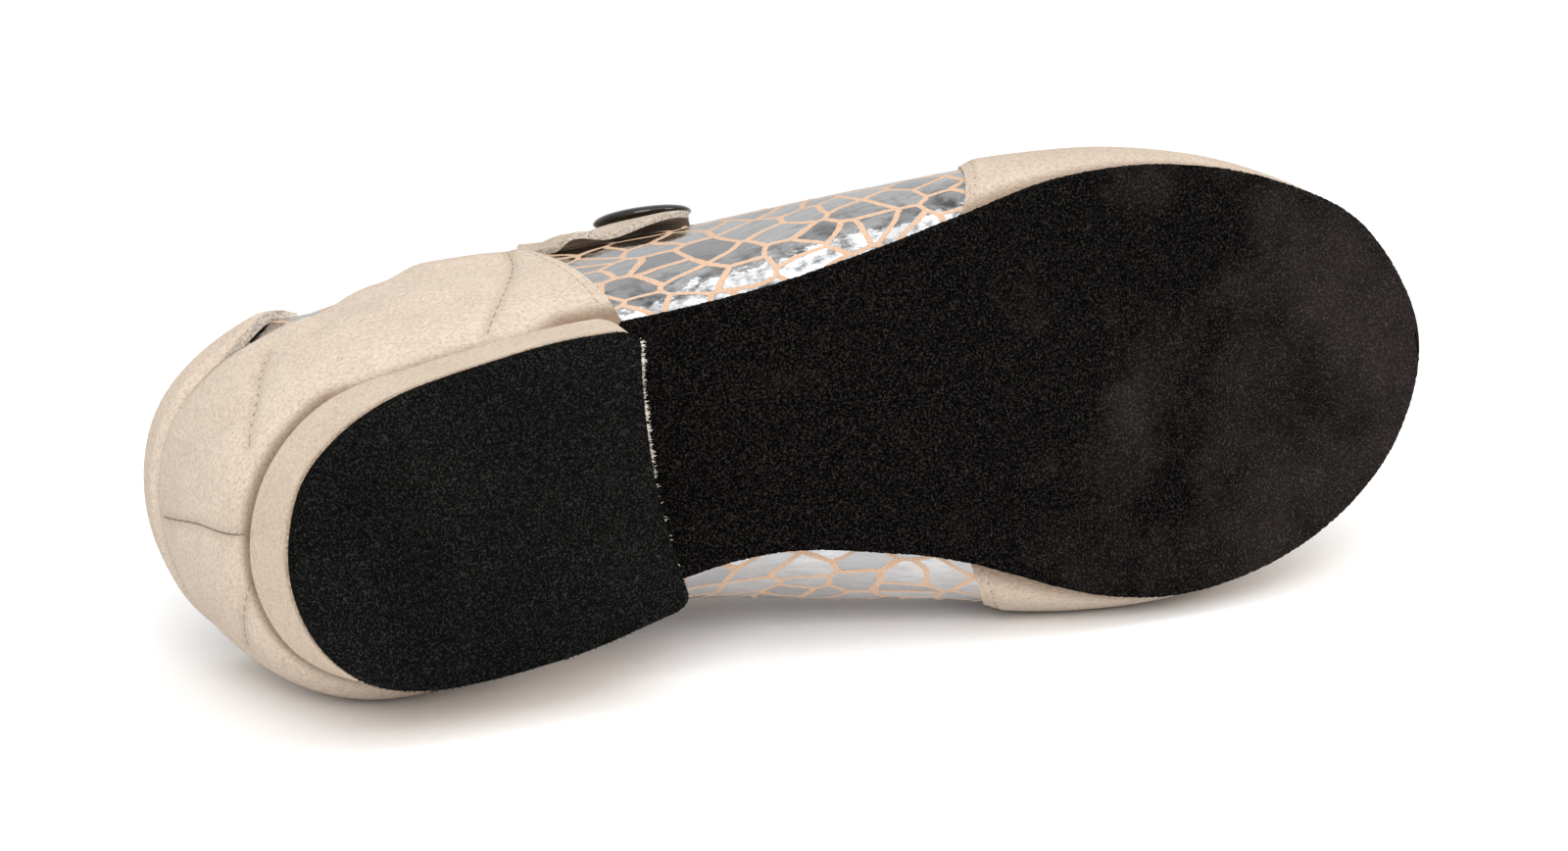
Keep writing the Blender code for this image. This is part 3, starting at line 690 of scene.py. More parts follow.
def black_suede(name, deep, worn, fibre, rear=0.0, front=0.0):
    """Black sole suede with light fibres showing, worn browner in patches, and painted lighter towards
    the front.
    """
    made = Finish(name, Roughness=1.0, Specular_IOR_Level=0.03)
    place = made.place()
    wear_and_painted_light = made.noise(place, 34, 4, 0.6)
    # Painted light: the value rises from rear to front, so the sole takes the lighter worn tone towards
    # the lit toe.
    if front > rear:
        forward = made.graded(place, "X", rear, front, -0.42, 0.13)
        wear_and_painted_light = made.joined("ADD", made.between(wear_and_painted_light, -0.25, 1.25, False), forward)
    base = made.ramp(wear_and_painted_light, (0.25, deep), (0.85, worn))
    nap = made.noise(place, 2300, 3, 0.75)
    flecks = made.ramp(nap, (0.50, BLACK), (0.74, WHITE))
    shown = made.mixed(1.0, flecks, made.ramp(wear_and_painted_light, (0.25, GREY), (0.85, WHITE)), "MULTIPLY")
    return made.show(Base_Color=made.mixed(shown, base, fibre), Normal=made.bump(nap, 0.9, 0.0007))


Relief = namedtuple("Relief", "scale detail roughness strength depth")
FOIL_RELIEF = [
    Relief(55, 1, 0.5, 0.6, 0.0020),
    Relief(170, 3, 0.55, 0.45, 0.0010),
    Relief(1400, 2, 0.5, 0.10, 0.00012),
]


def foil_leather():
    """Silver foil broken into cells over tan leather, with painted dark reflections low on the outer
    side.
    """
    made = Finish("silver_crackle_foil")
    flat = made.place(surface=True)
    place = made.place((112, 172, 1), surface=True)
    drift = made.noise(place, 0.55, 1.0, output="Color")
    moved = made.joined("MULTIPLY_ADD", drift, (0.7, 0.7, 0.0), place, kind="VectorMath")

    def cells(feature, output):
        kind = {"feature": feature, "voronoi_dimensions": "2D"}
        return made.node("TexVoronoi", output, kind, Vector=moved, Scale=1.0, Randomness=0.9)

    ragged = made.between(made.noise(place, 9.0), -0.025, 0.025, False)
    edge = made.joined("ADD", cells("DISTANCE_TO_EDGE", "Distance"), ragged)
    leaf = made.ramp(edge, (0.066, BLACK), (0.078, WHITE))
    scuffs = made.noise(made.place((160, 900, 1), (0, 0, 0.9), True), 1.0, 3, 0.6)
    tint = made.joined("MULTIPLY", cells("F1", "Color"), scuffs)
    silver = made.ramp(tint, (0.05, (0.40, 0.40, 0.41)), (0.5, (0.66, 0.66, 0.66)))
    # Painted dark reflections: dark spots mixed into the silver low on the upper and on its outer side.
    spots = made.noise(made.place((1.0, 1.6, 1.0), surface=True), 210, 4, 0.65)
    spots = made.ramp(spots, (0.44, BLACK), (0.62, WHITE))
    low = made.graded(flat, "Y", 0.005, 0.017, 1.0, 0.0)
    outer = made.graded(made.place(), "Z", 0.030, 0.055)
    painted_dark_reflection = made.joined("MULTIPLY", made.joined("MULTIPLY", low, spots), outer)
    silver = made.mixed(painted_dark_reflection, silver, (0.12, 0.125, 0.13))
    tan = made.noise(place, 14)
    tan = made.ramp(tan, (0.35, (0.52, 0.33, 0.215)), (0.7, (0.63, 0.435, 0.30)))
    ground = None
    for relief in FOIL_RELIEF:
        height = made.noise(flat, relief.scale, relief.detail, relief.roughness)
        ground = made.bump(height, relief.strength, relief.depth, ground)
    return made.show(
        Base_Color=made.mixed(leaf, tan, silver),
        Metallic=made.between(leaf, 0.0, 1.0),
        Roughness=made.between(leaf, 0.75, 0.10),
        Normal=made.bump(leaf, 0.5, 0.00012, ground),
    )


def grained(name, grain, dark, light, relief=None, scale=(1, 1, 1), low=0.3, high=0.7, **sockets):
    """A plain finish whose grain shows in its colour and its relief."""
    made = Finish(name, **sockets)
    grain = made.noise(made.place(scale), *grain)
    if relief:
        made.show(Normal=made.bump(grain, *relief))
    return made.show(Base_Color=made.ramp(grain, (low, dark), (high, light)))


def raw_edge(name, dark, light):
    """The cut edge of suede: loose pale fibres over a greyer core."""
    return grained(
        name, (1500, 3, 0.7), dark, light, (0.9, 0.0006), low=0.36, high=0.62,
        Roughness=1.0, Specular_IOR_Level=0.1, Sheen_Weight=0.2, Sheen_Roughness=0.6,
    )


def lining_leather():
    """Smooth lining leather with fine pores."""
    made = Finish("lining_leather", Specular_IOR_Level=0.35)
    place = made.place()
    tone = made.noise(place, 40, 3)
    pores = made.node("TexVoronoi", "Distance", Vector=place, Scale=900.0)
    return made.show(
        Base_Color=made.ramp(tone, (0.35, (0.60, 0.49, 0.38)), (0.7, (0.70, 0.58, 0.46))),
        Roughness=made.between(pores, 0.65, 0.5),
        Normal=made.bump(pores, 0.25, 0.0002),
    )


def black_nickel():
    """Polished black nickel with faint rubbing marks."""
    made = Finish("polished_black_nickel", Metallic=1.0)
    place = made.place()
    rubbed = made.noise(place, 260, 4, 0.6)
    return made.show(
        Base_Color=made.ramp(rubbed, (0.3, (0.050, 0.044, 0.041)), (0.7, (0.078, 0.070, 0.066))),
        Roughness=made.between(rubbed, 0.05, 0.13),
        Normal=made.bump(made.noise(place, 1800), 0.03, 0.0001),
    )


SAND_DARK = (0.618, 0.502, 0.396)
SAND_LIGHT = (0.682, 0.562, 0.449)
sand = suede("sand_suede_counter", SAND_DARK, SAND_LIGHT)
sand_cover = suede("sand_suede_heel_cover", (0.586, 0.470, 0.360), (0.648, 0.526, 0.408))
sand_cap = suede("sand_suede_toe_cap", (0.576, 0.462, 0.361), (0.638, 0.520, 0.411))
sand_tab = suede("sand_suede_heel_tab", SAND_DARK, SAND_LIGHT)
sand_strap = suede("sand_suede_strap", (0.530, 0.425, 0.331), (0.618, 0.508, 0.406))
sand_raw = raw_edge("sand_suede_raw_edge", (0.30, 0.24, 0.19), (0.60, 0.53, 0.45))
cover_raw = raw_edge("heel_cover_raw_edge", (0.17, 0.11, 0.07), (0.46, 0.35, 0.25))
pale_fibre = raw_edge("pale_suede_fibre", (0.54, 0.47, 0.38), (0.80, 0.74, 0.65))
flesh_side = suede("suede_flesh_side", (0.30, 0.22, 0.15), (0.42, 0.32, 0.23))
SOLE_TONES = (0.0006, 0.0005, 0.0005), (0.023, 0.018, 0.016), (0.090, 0.078, 0.070)
LIFT_TONES = (0.0016, 0.0016, 0.0015), (0.004, 0.004, 0.0038), (0.062, 0.062, 0.057)
# The sole is painted lighter towards the toe, where light falls on it (painted light).
sole_black = black_suede("black_suede_sole", *SOLE_TONES, 0.01, 0.13)
lift_black = black_suede("black_suede_lift", *LIFT_TONES)
silver_foil = foil_leather()
lining = lining_leather()
nickel = black_nickel()
thread = grained(
    "sand_thread", (1800,), (0.47, 0.38, 0.30), (0.60, 0.51, 0.42), (0.6, 0.0002), (1, 1, 3),
    Roughness=0.7, Specular_IOR_Level=0.3, Sheen_Weight=0.2,
)
# Dark discs of painted shade for the needle holes.
holes = grained(
    "needle_hole_painted_shade", (900,), (0.22, 0.16, 0.11), (0.36, 0.27, 0.20),
    Roughness=1.0, Specular_IOR_Level=0.05,
)
# Dark strips of painted shade along the counter's seams.
seam_shade = raw_edge("shaded_seam", (0.16, 0.112, 0.080), (0.26, 0.192, 0.140))
stitch_shade = raw_edge("shaded_stitch", (0.20, 0.145, 0.105), (0.33, 0.26, 0.20))


# The upper


def profile_rows(below, above):
    return np.concatenate([steps(-1, 0, below)[:-1], steps(0, 1, above)])


def upper_spread(s, row):
    """The foil's pattern in metres, along the widest line and up the profile."""
    run = steps(0, LOOP, 960)
    length = lengths_along(dome_points(run, np.full_like(run, LOWER_SHARE)))
    rise = np.zeros_like(s)
    before = dome_points(s, np.zeros_like(s))
    share = profile_share(s, row)
    for f in steps(0, 1, 24)[1:]:
        now = dome_points(s, share * f)
        rise += np.linalg.norm(now - before, axis=-1)
        before = now
    return np.stack([np.interp(s, run, length), rise], -1) * MM


def make_upper():
    """The hollow, lined upper of silver foil leather."""
    bm = formed_sheet(
        steps(0, LOOP, LOOP * 12), profile_rows(14, 40),
        lambda s, row: dome_points(s, profile_share(s, row)), upper_spread,
    )
    layers = [silver_foil, lining, sand_raw]
    sheet_piece("upper_foil", bm, (125.0, 0.0, 35.0), layers, "upper", WALL, 0.5)


# What is laid on the upper. Heights are those of the outer face over the upper.

SIDE_LENGTH = 45.0
ROW_LENGTH = 24.0
TUCK_ROW = -0.92
TUCK_RUN = 0.08
TUCK_DEPTH = 0.7
IN_HEEL = (45.0, 0.0, 40.0)

# The counter's padding, its lip under the tab and its thinned front edge
PADDING = 0.5
PADDING_ROW = 0.62
PADDING_SPREAD = 0.3
LIP_HEIGHT = 1.4
LIP_RUN = 4.5
DIP_PLACE = 2.2
DIP = 0.045
FRONT_HEIGHT = 0.65
FRONT_RUN = 2.4
FRONT_SEAM_AT = 2.2
FRONT_REACH = 0.45
LEAST_HEIGHT = 0.15

# Grooves along the counter's seams, and along the edge of a piece
Groove = namedtuple("Groove", "depth width")
SEWN_THROUGH = [Groove(0.4, 1.1), Groove(0.3, 3.5)]
JOINED = [Groove(0.4, 1.3)]
FRONT_GROOVE = Groove(0.28, 0.5)
CAP_GROOVE = Groove(0.3, 0.5)

CAP_EDGE_HEIGHT = 0.6
CAP_EDGE_RUN = 2.6
CAP_SEAM_AT = 2.1
CAP_REAR = -1.0


def tucked(points, row):
    """Lets a piece's foot run down behind the edge of the sole."""
    points[..., 2] -= TUCK_DEPTH * eased(row, TUCK_ROW, -TUCK_RUN)
    return points


def counter_top(turn):
    """The row at which the counter ends: low at the back, at the topline in front."""
    rise = eased(np.abs(turn), COUNTER_RISE_FROM, COUNTER_RISE_RUN)
    dip = DIP * bell((np.abs(turn) - DIP_PLACE) / 0.3)
    return blend(COUNTER_BACK_TOP, COUNTER_FRONT_TOP, rise) - dip


def make_counter():
    """The padded suede counter, sewn through in rows and joined at the back."""
    rear, side, inner, back = (
        seam_path(seam) for seam in (REAR_SEAM, SIDE_SEAM, INNER_SEAM, BACK_SEAM)
    )

    def counter_share(turn, row):
        return profile_share(turn, np.where(row < 0, row, row * counter_top(turn)))

    def counter_shade(turn, row):
        # Painted shade: darker in the crease at the counter's foot, in the valley under the tab, and
        # along the seams.
        reach = np.abs(turn)
        flat = dome_points(turn, counter_share(turn, row))
        bare = eased(turn, 1.8, 0.5) * eased(turn, 3.7, -0.4)
        at_foot = (0.9 - 0.35 * bare) * eased(row, -0.66 - 0.16 * bare, -0.16)
        from_top = (1 - row) * counter_top(turn) * SIDE_LENGTH
        along_tab = eased(reach, 2.3, -0.4) * eased(reach, 0.9, 0.6)
        at_tab = 0.4 * eased(from_top, 1.8, -1.8) * along_tab
        seams = (rear, side, inner, back)
        painted_seam_shade = sum(0.22 * bell(distance_to(flat, seam[2]) / 1.2) for seam in seams)
        return at_foot + at_tab + painted_seam_shade

    def counter_place(turn, row):
        reach = np.abs(turn)
        share = counter_share(turn, row)
        flat = dome_points(turn, share)
        padded = eased(turn, -0.5, 1.0) * eased(reach, 2.2, 0.8)
        height = GAP + SUEDE + PADDING * padded * bell((row - PADDING_ROW) / PADDING_SPREAD)
        for seam in (rear, side, inner, back):
            away = distance_to(flat, seam[2])
            for groove in JOINED if seam is back else SEWN_THROUGH:
                height -= groove.depth * bell(away / groove.width)
        lip = LIP_HEIGHT - 0.45 * eased(reach, 0.9, 0.6)
        lip += 0.7 * eased(reach, 2.5, 0.4) - 0.45 * eased(reach, 1.65, 0.25)
        from_top = (1 - row) * counter_top(turn) * SIDE_LENGTH
        thinned = LIP_RUN * (1 + bell((reach - DIP_PLACE) / 0.35))
        height = blend(lip, height, eased(from_top, 0.0, thinned))
        from_front = (COUNTER_FRONT - reach) * ROW_LENGTH
        height = blend(FRONT_HEIGHT, height, eased(from_front, 0.0, FRONT_RUN))
        height -= FRONT_GROOVE.depth * bell((from_front - FRONT_SEAM_AT) / FRONT_GROOVE.width)
        height *= 1 - 0.75 * eased(row, -0.45, -0.5)
        return tucked(laid_on(turn, share, np.maximum(height, LEAST_HEIGHT)), row)

    front = COUNTER_FRONT - steps(0, 1, 24)[::-1] ** 1.5 * FRONT_REACH
    turns = np.concatenate([steps(0, COUNTER_FRONT - FRONT_REACH, 92)[:-1], front])
    bm = formed_sheet(both_ways(turns), profile_rows(22, 54), counter_place, shade=counter_shade)
    layers = [sand, flesh_side, sand_raw]
    face = sheet_piece("counter_suede", bm, IN_HEEL, layers, "counter", SUEDE, 0.3)
    sewn_row("counter_rear_holes", face, rear, 2.7)
    seam_line("counter_rear_seam", face, rear, 0.20, stitch_shade)
    seam_line("counter_side_seam", face, side, 0.34, stitch_shade, 2.0, 0.9)
    seam_line("counter_inner_seam", face, inner, 0.28, stitch_shade, 2.0, 0.7)
    seam_line("counter_back_seam", face, back, 0.46, seam_shade)
    rows = steps(-0.7, 0.97, 90)
    behind = np.full_like(rows, COUNTER_FRONT - FRONT_SEAM_AT / ROW_LENGTH)
    for name, places in (("lateral", behind), ("medial", LOOP - behind)):
        path = path_over(places, profile_share(places, rows))
        seam_line("counter_front_seam_" + name, face, path, 0.24, stitch_shade, 1.9, 0.7)


def cap_place(side, t):
    """A place on the toe cap: side is CAP_REAR at its edge, 0 at the blend."""
    edge = CAP_FOOT_PLACE + CAP_LEAN * (1 - np.exp(-t / CAP_LEAN_REACH))
    return np.where(side >= 0, CAP_BLEND + side, CAP_BLEND + side * (CAP_BLEND - edge))


def make_toe_cap():
    """The suede toe cap, sewn along its thinned rear edge."""
    fine = -1 + steps(0, 1, 34)[:-1] ** 1.6
    sides = np.concatenate([fine, steps(0, LAST_ROW - CAP_BLEND, 44)])
    tip = sides[-1]

    def cap_point(turn, row):
        t = np.where(row < 0, LOWER_SHARE * (1 + row), blend(LOWER_SHARE, 1.0, row))
        place = cap_place(np.where(turn <= tip, turn, 2 * tip - turn), t)
        from_edge = (place - cap_place(CAP_REAR, t)) * ROW_LENGTH
        height = blend(CAP_EDGE_HEIGHT, GAP + SUEDE, eased(from_edge, 0.0, CAP_EDGE_RUN))
        height -= CAP_GROOVE.depth * bell((from_edge - CAP_SEAM_AT) / CAP_GROOVE.width)
        height *= 1 - 0.45 * eased(row, -0.62, -0.38)
        return tucked(laid_on(np.where(turn <= tip, place, LOOP - place), t, height), row)

    def cap_shade(turn, row):
        # Painted shade in the crease at the cap's foot.
        return 0.7 * eased(row, -0.70, -0.2)

    turns = np.concatenate([sides, 2 * tip - sides[-2::-1]])
    bm = formed_sheet(turns, profile_rows(18, 44), cap_point, shade=cap_shade)
    layers = [sand_cap, flesh_side, sand_raw]
    inside = (195.0, 0.0, 15.0)
    face = sheet_piece("toe_cap_suede", bm, inside, layers, "toe_cap", SUEDE, 0.25)
    shares = steps(0.04, 0.97, 160)
    behind = cap_place(CAP_REAR, shares) + CAP_SEAM_AT / ROW_LENGTH
    for name, places in (("cap_lateral_holes", behind), ("cap_medial_holes", LOOP - behind)):
        sewn_row(name, face, path_over(places, shares), 2.6, 1.7, 0.12)


TAB_HEIGHT = 2.45
TAB_LOW = 1.45
TAB_SWELL_RUN = 6.0
TAB_ROUND_RUN = 2.5
TAB_END_RUN = 0.32


def make_heel_tab():
    """The padded suede tab round the back of the collar. Its cut edge stands free at its ends."""
    def tab_point(turn, share):
        reach = np.abs(turn)
        foot = TAB_FOOT + TAB_FOOT_RISE * eased(reach, TAB_RISE_FROM, TAB_FRONT - TAB_RISE_FROM)
        low = TAB_LOW - 0.5 * eased(reach, 0.9, 0.6) + 1.25 * eased(reach, 1.6, 0.3)
        length = (1 - foot) * SIDE_LENGTH
        height = blend(low, TAB_HEIGHT, eased(share * length, 0.0, TAB_SWELL_RUN))
        height -= 0.7 * eased((1 - share) * length, TAB_ROUND_RUN, -TAB_ROUND_RUN)
        height -= 1.1 * eased(reach, TAB_FRONT - TAB_END_RUN, TAB_END_RUN)
        return laid_on(turn, profile_share(turn, foot + (1 - foot) * share), height)

    def tab_shade(turn, share):
        # Painted shade in the valley along the tab's foot.
        from_foot = share * (1 - TAB_FOOT) * SIDE_LENGTH
        return 0.45 * eased(np.abs(turn), 0.9, 0.6) * eased(from_foot, 1.6, -1.6)

    turns = both_ways(steps(0, TAB_FRONT, 84))
    bm = formed_sheet(turns, steps(0, 1, 22), tab_point, shade=tab_shade)
    layers = [sand_tab, flesh_side, sand_raw]
    thickness = HEEL_TAB_THICKNESS - GAP
    sheet_piece(
        "heel_tab_suede", bm, IN_HEEL, layers, "heel_tab", thickness, 0.4, segments=3
    )


def strap_height(k, t):
    """How far the strap stands over the upper: shaped at its end, and clear of the opening."""
    near_end = eased(t, STRAP_END + STRAP_LIFT_REACH, -STRAP_LIFT_REACH)
    lift = along_table(STRAP_LIFTS, (k - STRAP_REAR) / (STRAP_FRONT - STRAP_REAR))
    swell = STRAP_SWELL * bell((t - 0.62) / 0.13)
    return blend(STRAP_STAND_OFF, lift, near_end) + swell


def button_seat():
    """The middle of the button's underside."""
    return laid_on(np.array([BUTTON_PLACE]), np.array([BUTTON_SHARE]), np.array([BUTTON_LIFT]))[0]


def pressed_flat(points):
    """The strap's inner face, pressed flat under the button."""
    way = np.array(BUTTON_WAY)
    away = points - button_seat()
    rise = away @ way
    reach = np.linalg.norm(away - rise[..., None] * way, axis=-1)
    share = eased(reach, BUTTON_PRESS, -PRESS_RUN)
    return points - (share * (rise + STRAP_THICKNESS + PRESS_GAP))[..., None] * way


def make_strap():
    """The strap over the instep, narrower at its buttoned lateral end, where its rear edge tucks in
    under the counter."""
    def strap_point(k, run):
        side = (2 * k - STRAP_FRONT - STRAP_REAR) / (STRAP_FRONT - STRAP_REAR)
        rounding = STRAP_END_ROUND * np.where(side < 0, REAR_CORNER, 1.0)
        t = 1 - (1 - STRAP_END - rounding * np.abs(side) ** STRAP_END_POWER) * np.abs(run)
        height = np.where(run < 0, strap_height(k, t), STRAP_STAND_OFF)
        ahead = STRAP_SPREAD * (1 + side) / 2 * np.where(run < 0, eased(t, 0.30, 0.22), 1.0)
        tuck = eased(t, STRAP_END, 0.07) * eased(t, 0.56, -0.08) * (run < 0)
        height -= (height + STRAP_TUCK_DEPTH) * tuck * eased(side, -0.45, -0.55)
        place = k + ahead - STRAP_TUCK * tuck * ((1 - side) / 2) ** 2
        return pressed_flat(laid_on(np.where(run < 0, place, LOOP - place), t, height))

    bm = formed_sheet(steps(STRAP_REAR, STRAP_FRONT, 60), steps(-1, 1, 150), strap_point)
    layers = [sand_strap, flesh_side, sand_raw]
    inside = (100.0, 0.0, 40.0)
    sheet_piece("strap_suede", bm, inside, layers, "strap", STRAP_THICKNESS, 0.35, 1)


# The button's half profile, from the middle of its face over the rolled edge to the shank's foot:
# shares of the radius, and heights over the underside
BUTTON_PROFILE = (
    (0.0, 2.7), (0.45, 2.58), (0.78, 2.25), (0.93, 1.75), (1.0, 1.0), (0.97, 0.6), (0.90, 0.15),
    (0.80, 0.0), (0.34, 0.0), (0.30, -0.2), (0.30, -1.0), (0.0, -1.0),
)


def make_button():
    """The round metal button: a low dome with a rolled edge and a short shank."""
    radius = BUTTON_DIAMETER / 2 * MM
    bm = bmesh.new()
    verts = [bm.verts.new((out * radius, 0.0, up * MM)) for out, up in BUTTON_PROFILE]
    edges = [bm.edges.new(pair) for pair in zip(verts, verts[1:])]
    bmesh.ops.spin(
        bm, geom=verts + edges, cent=(0, 0, 0), axis=(0, 0, 1),
        angle=2 * math.pi, steps=48, use_merge=True,
    )
    bmesh.ops.remove_doubles(bm, verts=bm.verts, dist=MERGE_DISTANCE)
    bmesh.ops.recalc_face_normals(bm, faces=bm.faces)
    seat = pointed(lying(button_seat()), lying_way(BUTTON_WAY))
    bmesh.ops.transform(bm, matrix=seat, verts=bm.verts)
    piece = finished_piece("button_nickel", bm, [nickel], "button")
    rounder = piece.modifiers.new("turned_round", "SUBSURF")
    rounder.levels = rounder.render_levels = 2


# Sole and heel

FAR_BELOW = (125.0, 0.0, -500.0)
TIP_END = LAST_ROW - 0.05
REAR_NARROWING = 1.2
REAR_NARROW_RUN = 0.13
SIDE_STEPS = 130
BREAST_STEPS = 100
CAP_CORNERS = 4


def sheet_between(places, shares, inset, height, fray=0.0, rear_inset=0.0):
    """A sheet from edge to edge at height(x), frayed a little, and narrower at its rear end."""
    rng = np.random.default_rng(11)
    loose = rng.normal(0.0, 1.0, (len(places), 2)) * fray
    loose *= eased(places, places[-1], -0.2)[:, None]
    rear_end = places[0] + REAR_NARROW_RUN
    loose += rear_inset * eased(places, rear_end, -0.3 * REAR_NARROW_RUN)[:, None]

    def across_point(k, share):
        row = np.rint(np.interp(k, places, np.arange(len(places)))).astype(int)
        outer = edge_points(k, inset + loose[row, 0])
        inner = edge_points(LOOP - k, inset + loose[row, 1])
        points = blend(outer, inner, share[..., None])
        points[..., 2] = height(points[..., 0])
        return points

    return formed_sheet(places, shares, across_point)


def place_at(x, side):
    """The place on one side whose edge lies at x."""
    return float(bisected(2.0, 6.0, lambda k: edge_points(side(k))[..., 0] < x))


def make_sole():
    """The black suede sole from under the heel's breast to the toe."""
    rear = place_at(BREAST_X + BREAST_LEAN - SOLE_TUCK, lambda k: k)
    places = steps(rear, TIP_END, 420)
    bm = sheet_between(places, steps(0, 1, 26), 0.0, sole_top, 0.05, REAR_NARROWING)
    sheet_piece(
        "sole_suede", bm, FAR_BELOW, [sole_black], "outsole", SOLE_THICKNESS, 0.4
    )


def make_insole():
    """The insole on the sole and the heel's seat. Its edge lies in the upper's wall."""
    places = steps(0.05, TIP_END, 120)
    inset = FEATHER_INSET + INSOLE_INSET
    bm = sheet_between(places, steps(0, 1, 24), inset, lambda x: sole_top(x) + GAP)
    sheet_piece(
        "insole_leather", bm, FAR_BELOW, [lining], "insole", INSOLE_THICKNESS, 0.4, 1
    )


def lift_inset(turn):
    """How far the top piece lies inside the seat's edge."""
    return along_table(LIFT_INSETS, (turn / LIFT_TURN + 1) / 2)


def seat_inset(turn):
    """How far the cover's rim lies inside the seat's edge, or proud of it where below 0."""
    inset = along_table(SEAT_INSETS, np.clip(turn, 0, LIFT_TURN) / LIFT_TURN)
    return inset * eased(np.abs(turn), LIFT_TURN + 0.06, -0.2)


def heel_outline(inset, lean=0.0):
    """The heel's outline: from the lateral front corner round the back, then along the breast."""
    lat_end = place_at(BREAST_X + lean, lambda k: k)
    med_end = place_at(BREAST_INNER_X + lean, lambda k: LOOP - k)
    out = steps(0, 1, SIDE_STEPS)[::-1] * lat_end
    home = steps(0, 1, SIDE_STEPS)[1:] * med_end
    points = np.concatenate([edge_points(out, inset(out)), edge_points(LOOP - home, inset(-home))])
    f = steps(0, 1, BREAST_STEPS)[1:-1, None]
    breast = blend(points[-1], points[0], f)
    breast[:, 0] -= BREAST_HOLLOW * 4 * (f * (1 - f))[:, 0]
    outline = np.concatenate([points, breast])
    for corner in (0, len(points) - 1):
        outline = rounded_corner(outline, corner, CORNER_STEPS)
    return outline


def rounded_corner(outline, corner, reach):
    around_corner = np.arange(corner - reach, corner + reach + 1) % len(outline)
    start, middle, end = (outline[around_corner[i]] for i in (0, reach, -1))
    f = steps(0, 1, 2 * reach)[:, None]
    made = outline.copy()
    made[around_corner] = start * (1 - f) ** 2 + 2 * middle * f * (1 - f) + end * f**2
    return made


def end_caps(bm):
    """A heel form's end faces, the lower one first."""
    caps = [face for face in bm.faces if len(face.verts) > CAP_CORNERS]
    return sorted(caps, key=lambda face: face.calc_center_median().z)


def heel_form(low, high, low_inset, high_inset, lean, foot_rim, head_rim, rings=0):
    """A standing solid between two heel outlines, with rounded rims."""
    foot, head = heel_outline(low_inset), heel_outline(high_inset, lean)
    bm = bmesh.new()
    bmesh.ops.create_cone(bm, cap_ends=True, segments=len(foot), radius1=1, radius2=1, depth=2)
    for vert in bm.verts:
        turn = math.atan2(vert.co.x, vert.co.y) / (2 * math.pi)
        point = (foot if vert.co.z < 0 else head)[round(turn * len(foot)) % len(foot)].copy()
        point[2] = low(point[0]) if vert.co.z < 0 else high(point[0])
        vert.co = point * MM
    if bm.calc_volume(signed=True) < 0:
        bmesh.ops.reverse_faces(bm, faces=bm.faces)
    bm.normal_update()
    if rings:
        upright = [e for e in bm.edges if abs(e.verts[0].co.z - e.verts[1].co.z) > MM]
        bmesh.ops.subdivide_edges(bm, edges=upright, cuts=rings, use_grid_fill=True)
    for end, width, segments in ((0, foot_rim, 3), (-1, head_rim, 5)):
        bmesh.ops.bevel(
            bm, geom=list(end_caps(bm)[end].edges), offset=width * MM, offset_type="OFFSET",
            segments=segments, profile=0.5, affect="EDGES", material=-1,
        )
    bmesh.ops.triangulate(bm, faces=end_caps(bm), ngon_method="EAR_CLIP")
    return bm


def laid_down(bm):
    for vert in bm.verts:
        vert.co = lying(vert.co / MM)
    return bm


COVER_FOOT = LIFT_THICKNESS + 0.05
RAW_BAND = 0.75
WORN_BAND = 2.2
WORN_RUN = 1.6


def make_heel():
    """The suede-covered heel and the black suede top piece under it."""
    bm = heel_form(
        lambda x: COVER_FOOT, lambda x: float(sole_top(x)), lift_inset, seat_inset, BREAST_LEAN,
        foot_rim=0.8, head_rim=1.5, rings=7,
    )
    worn = bm.verts.layers.float.new("shade")
    for vert in bm.verts:
        vert[worn] = 0.5 * float(eased(vert.co.z / MM, COVER_FOOT + WORN_BAND, -WORN_RUN))
    for face in bm.faces:
        if face.calc_center_median().z < (COVER_FOOT + RAW_BAND) * MM:
            face.material_index = 1
    layers = [sand_cover, cover_raw]
    finished_piece("heel_cover_suede", laid_down(bm), layers, "heel_block")
    bm = heel_form(
        lambda x: 0.0, lambda x: LIFT_THICKNESS, lift_inset, lift_inset, 0.0,
        foot_rim=0.4, head_rim=0.2,
    )
    finished_piece("heel_lift_suede", laid_down(bm), [lift_black], "heel_lift")


# Fibres that stand out from cut edges: how many, how long, how thick, and how high they root
Fibres = namedtuple("Fibres", "count lengths widths roots")
BREAST_FIBRES = Fibres(300, (0.5, 1.4), (0.07, 0.16), (0.15, 1.1))
LIFT_FIBRES = Fibres(3400, (0.45, 0.95), (0.08, 0.2), (0.1, 1.6))
FIBRE_TIP = 0.2
BREAST_ROOT = 0.25
LIFT_ROOT = 0.52
DENSE_CHANCE = 0.86
DENSE_FROM = 0.47


def tufts(name, kind, rng, roots, ways, finish):
    """Loose fibres, each a thin three-sided spike from its root along its way."""
    lengths, widths = (rng.uniform(*limits, kind.count) * MM for limits in (kind.lengths, kind.widths))
    bm = bmesh.new()
    for root, way, length, width in zip(lying(roots), lying_way(ways), lengths, widths):
        way = Vector(way).normalized()
        bmesh.ops.create_cone(
            bm, cap_ends=True, segments=3, radius1=width, radius2=width * FIBRE_TIP,
            depth=length, matrix=pointed(Vector(root) + way * (length / 2), way),
        )
    finished_piece(name, bm, [finish])


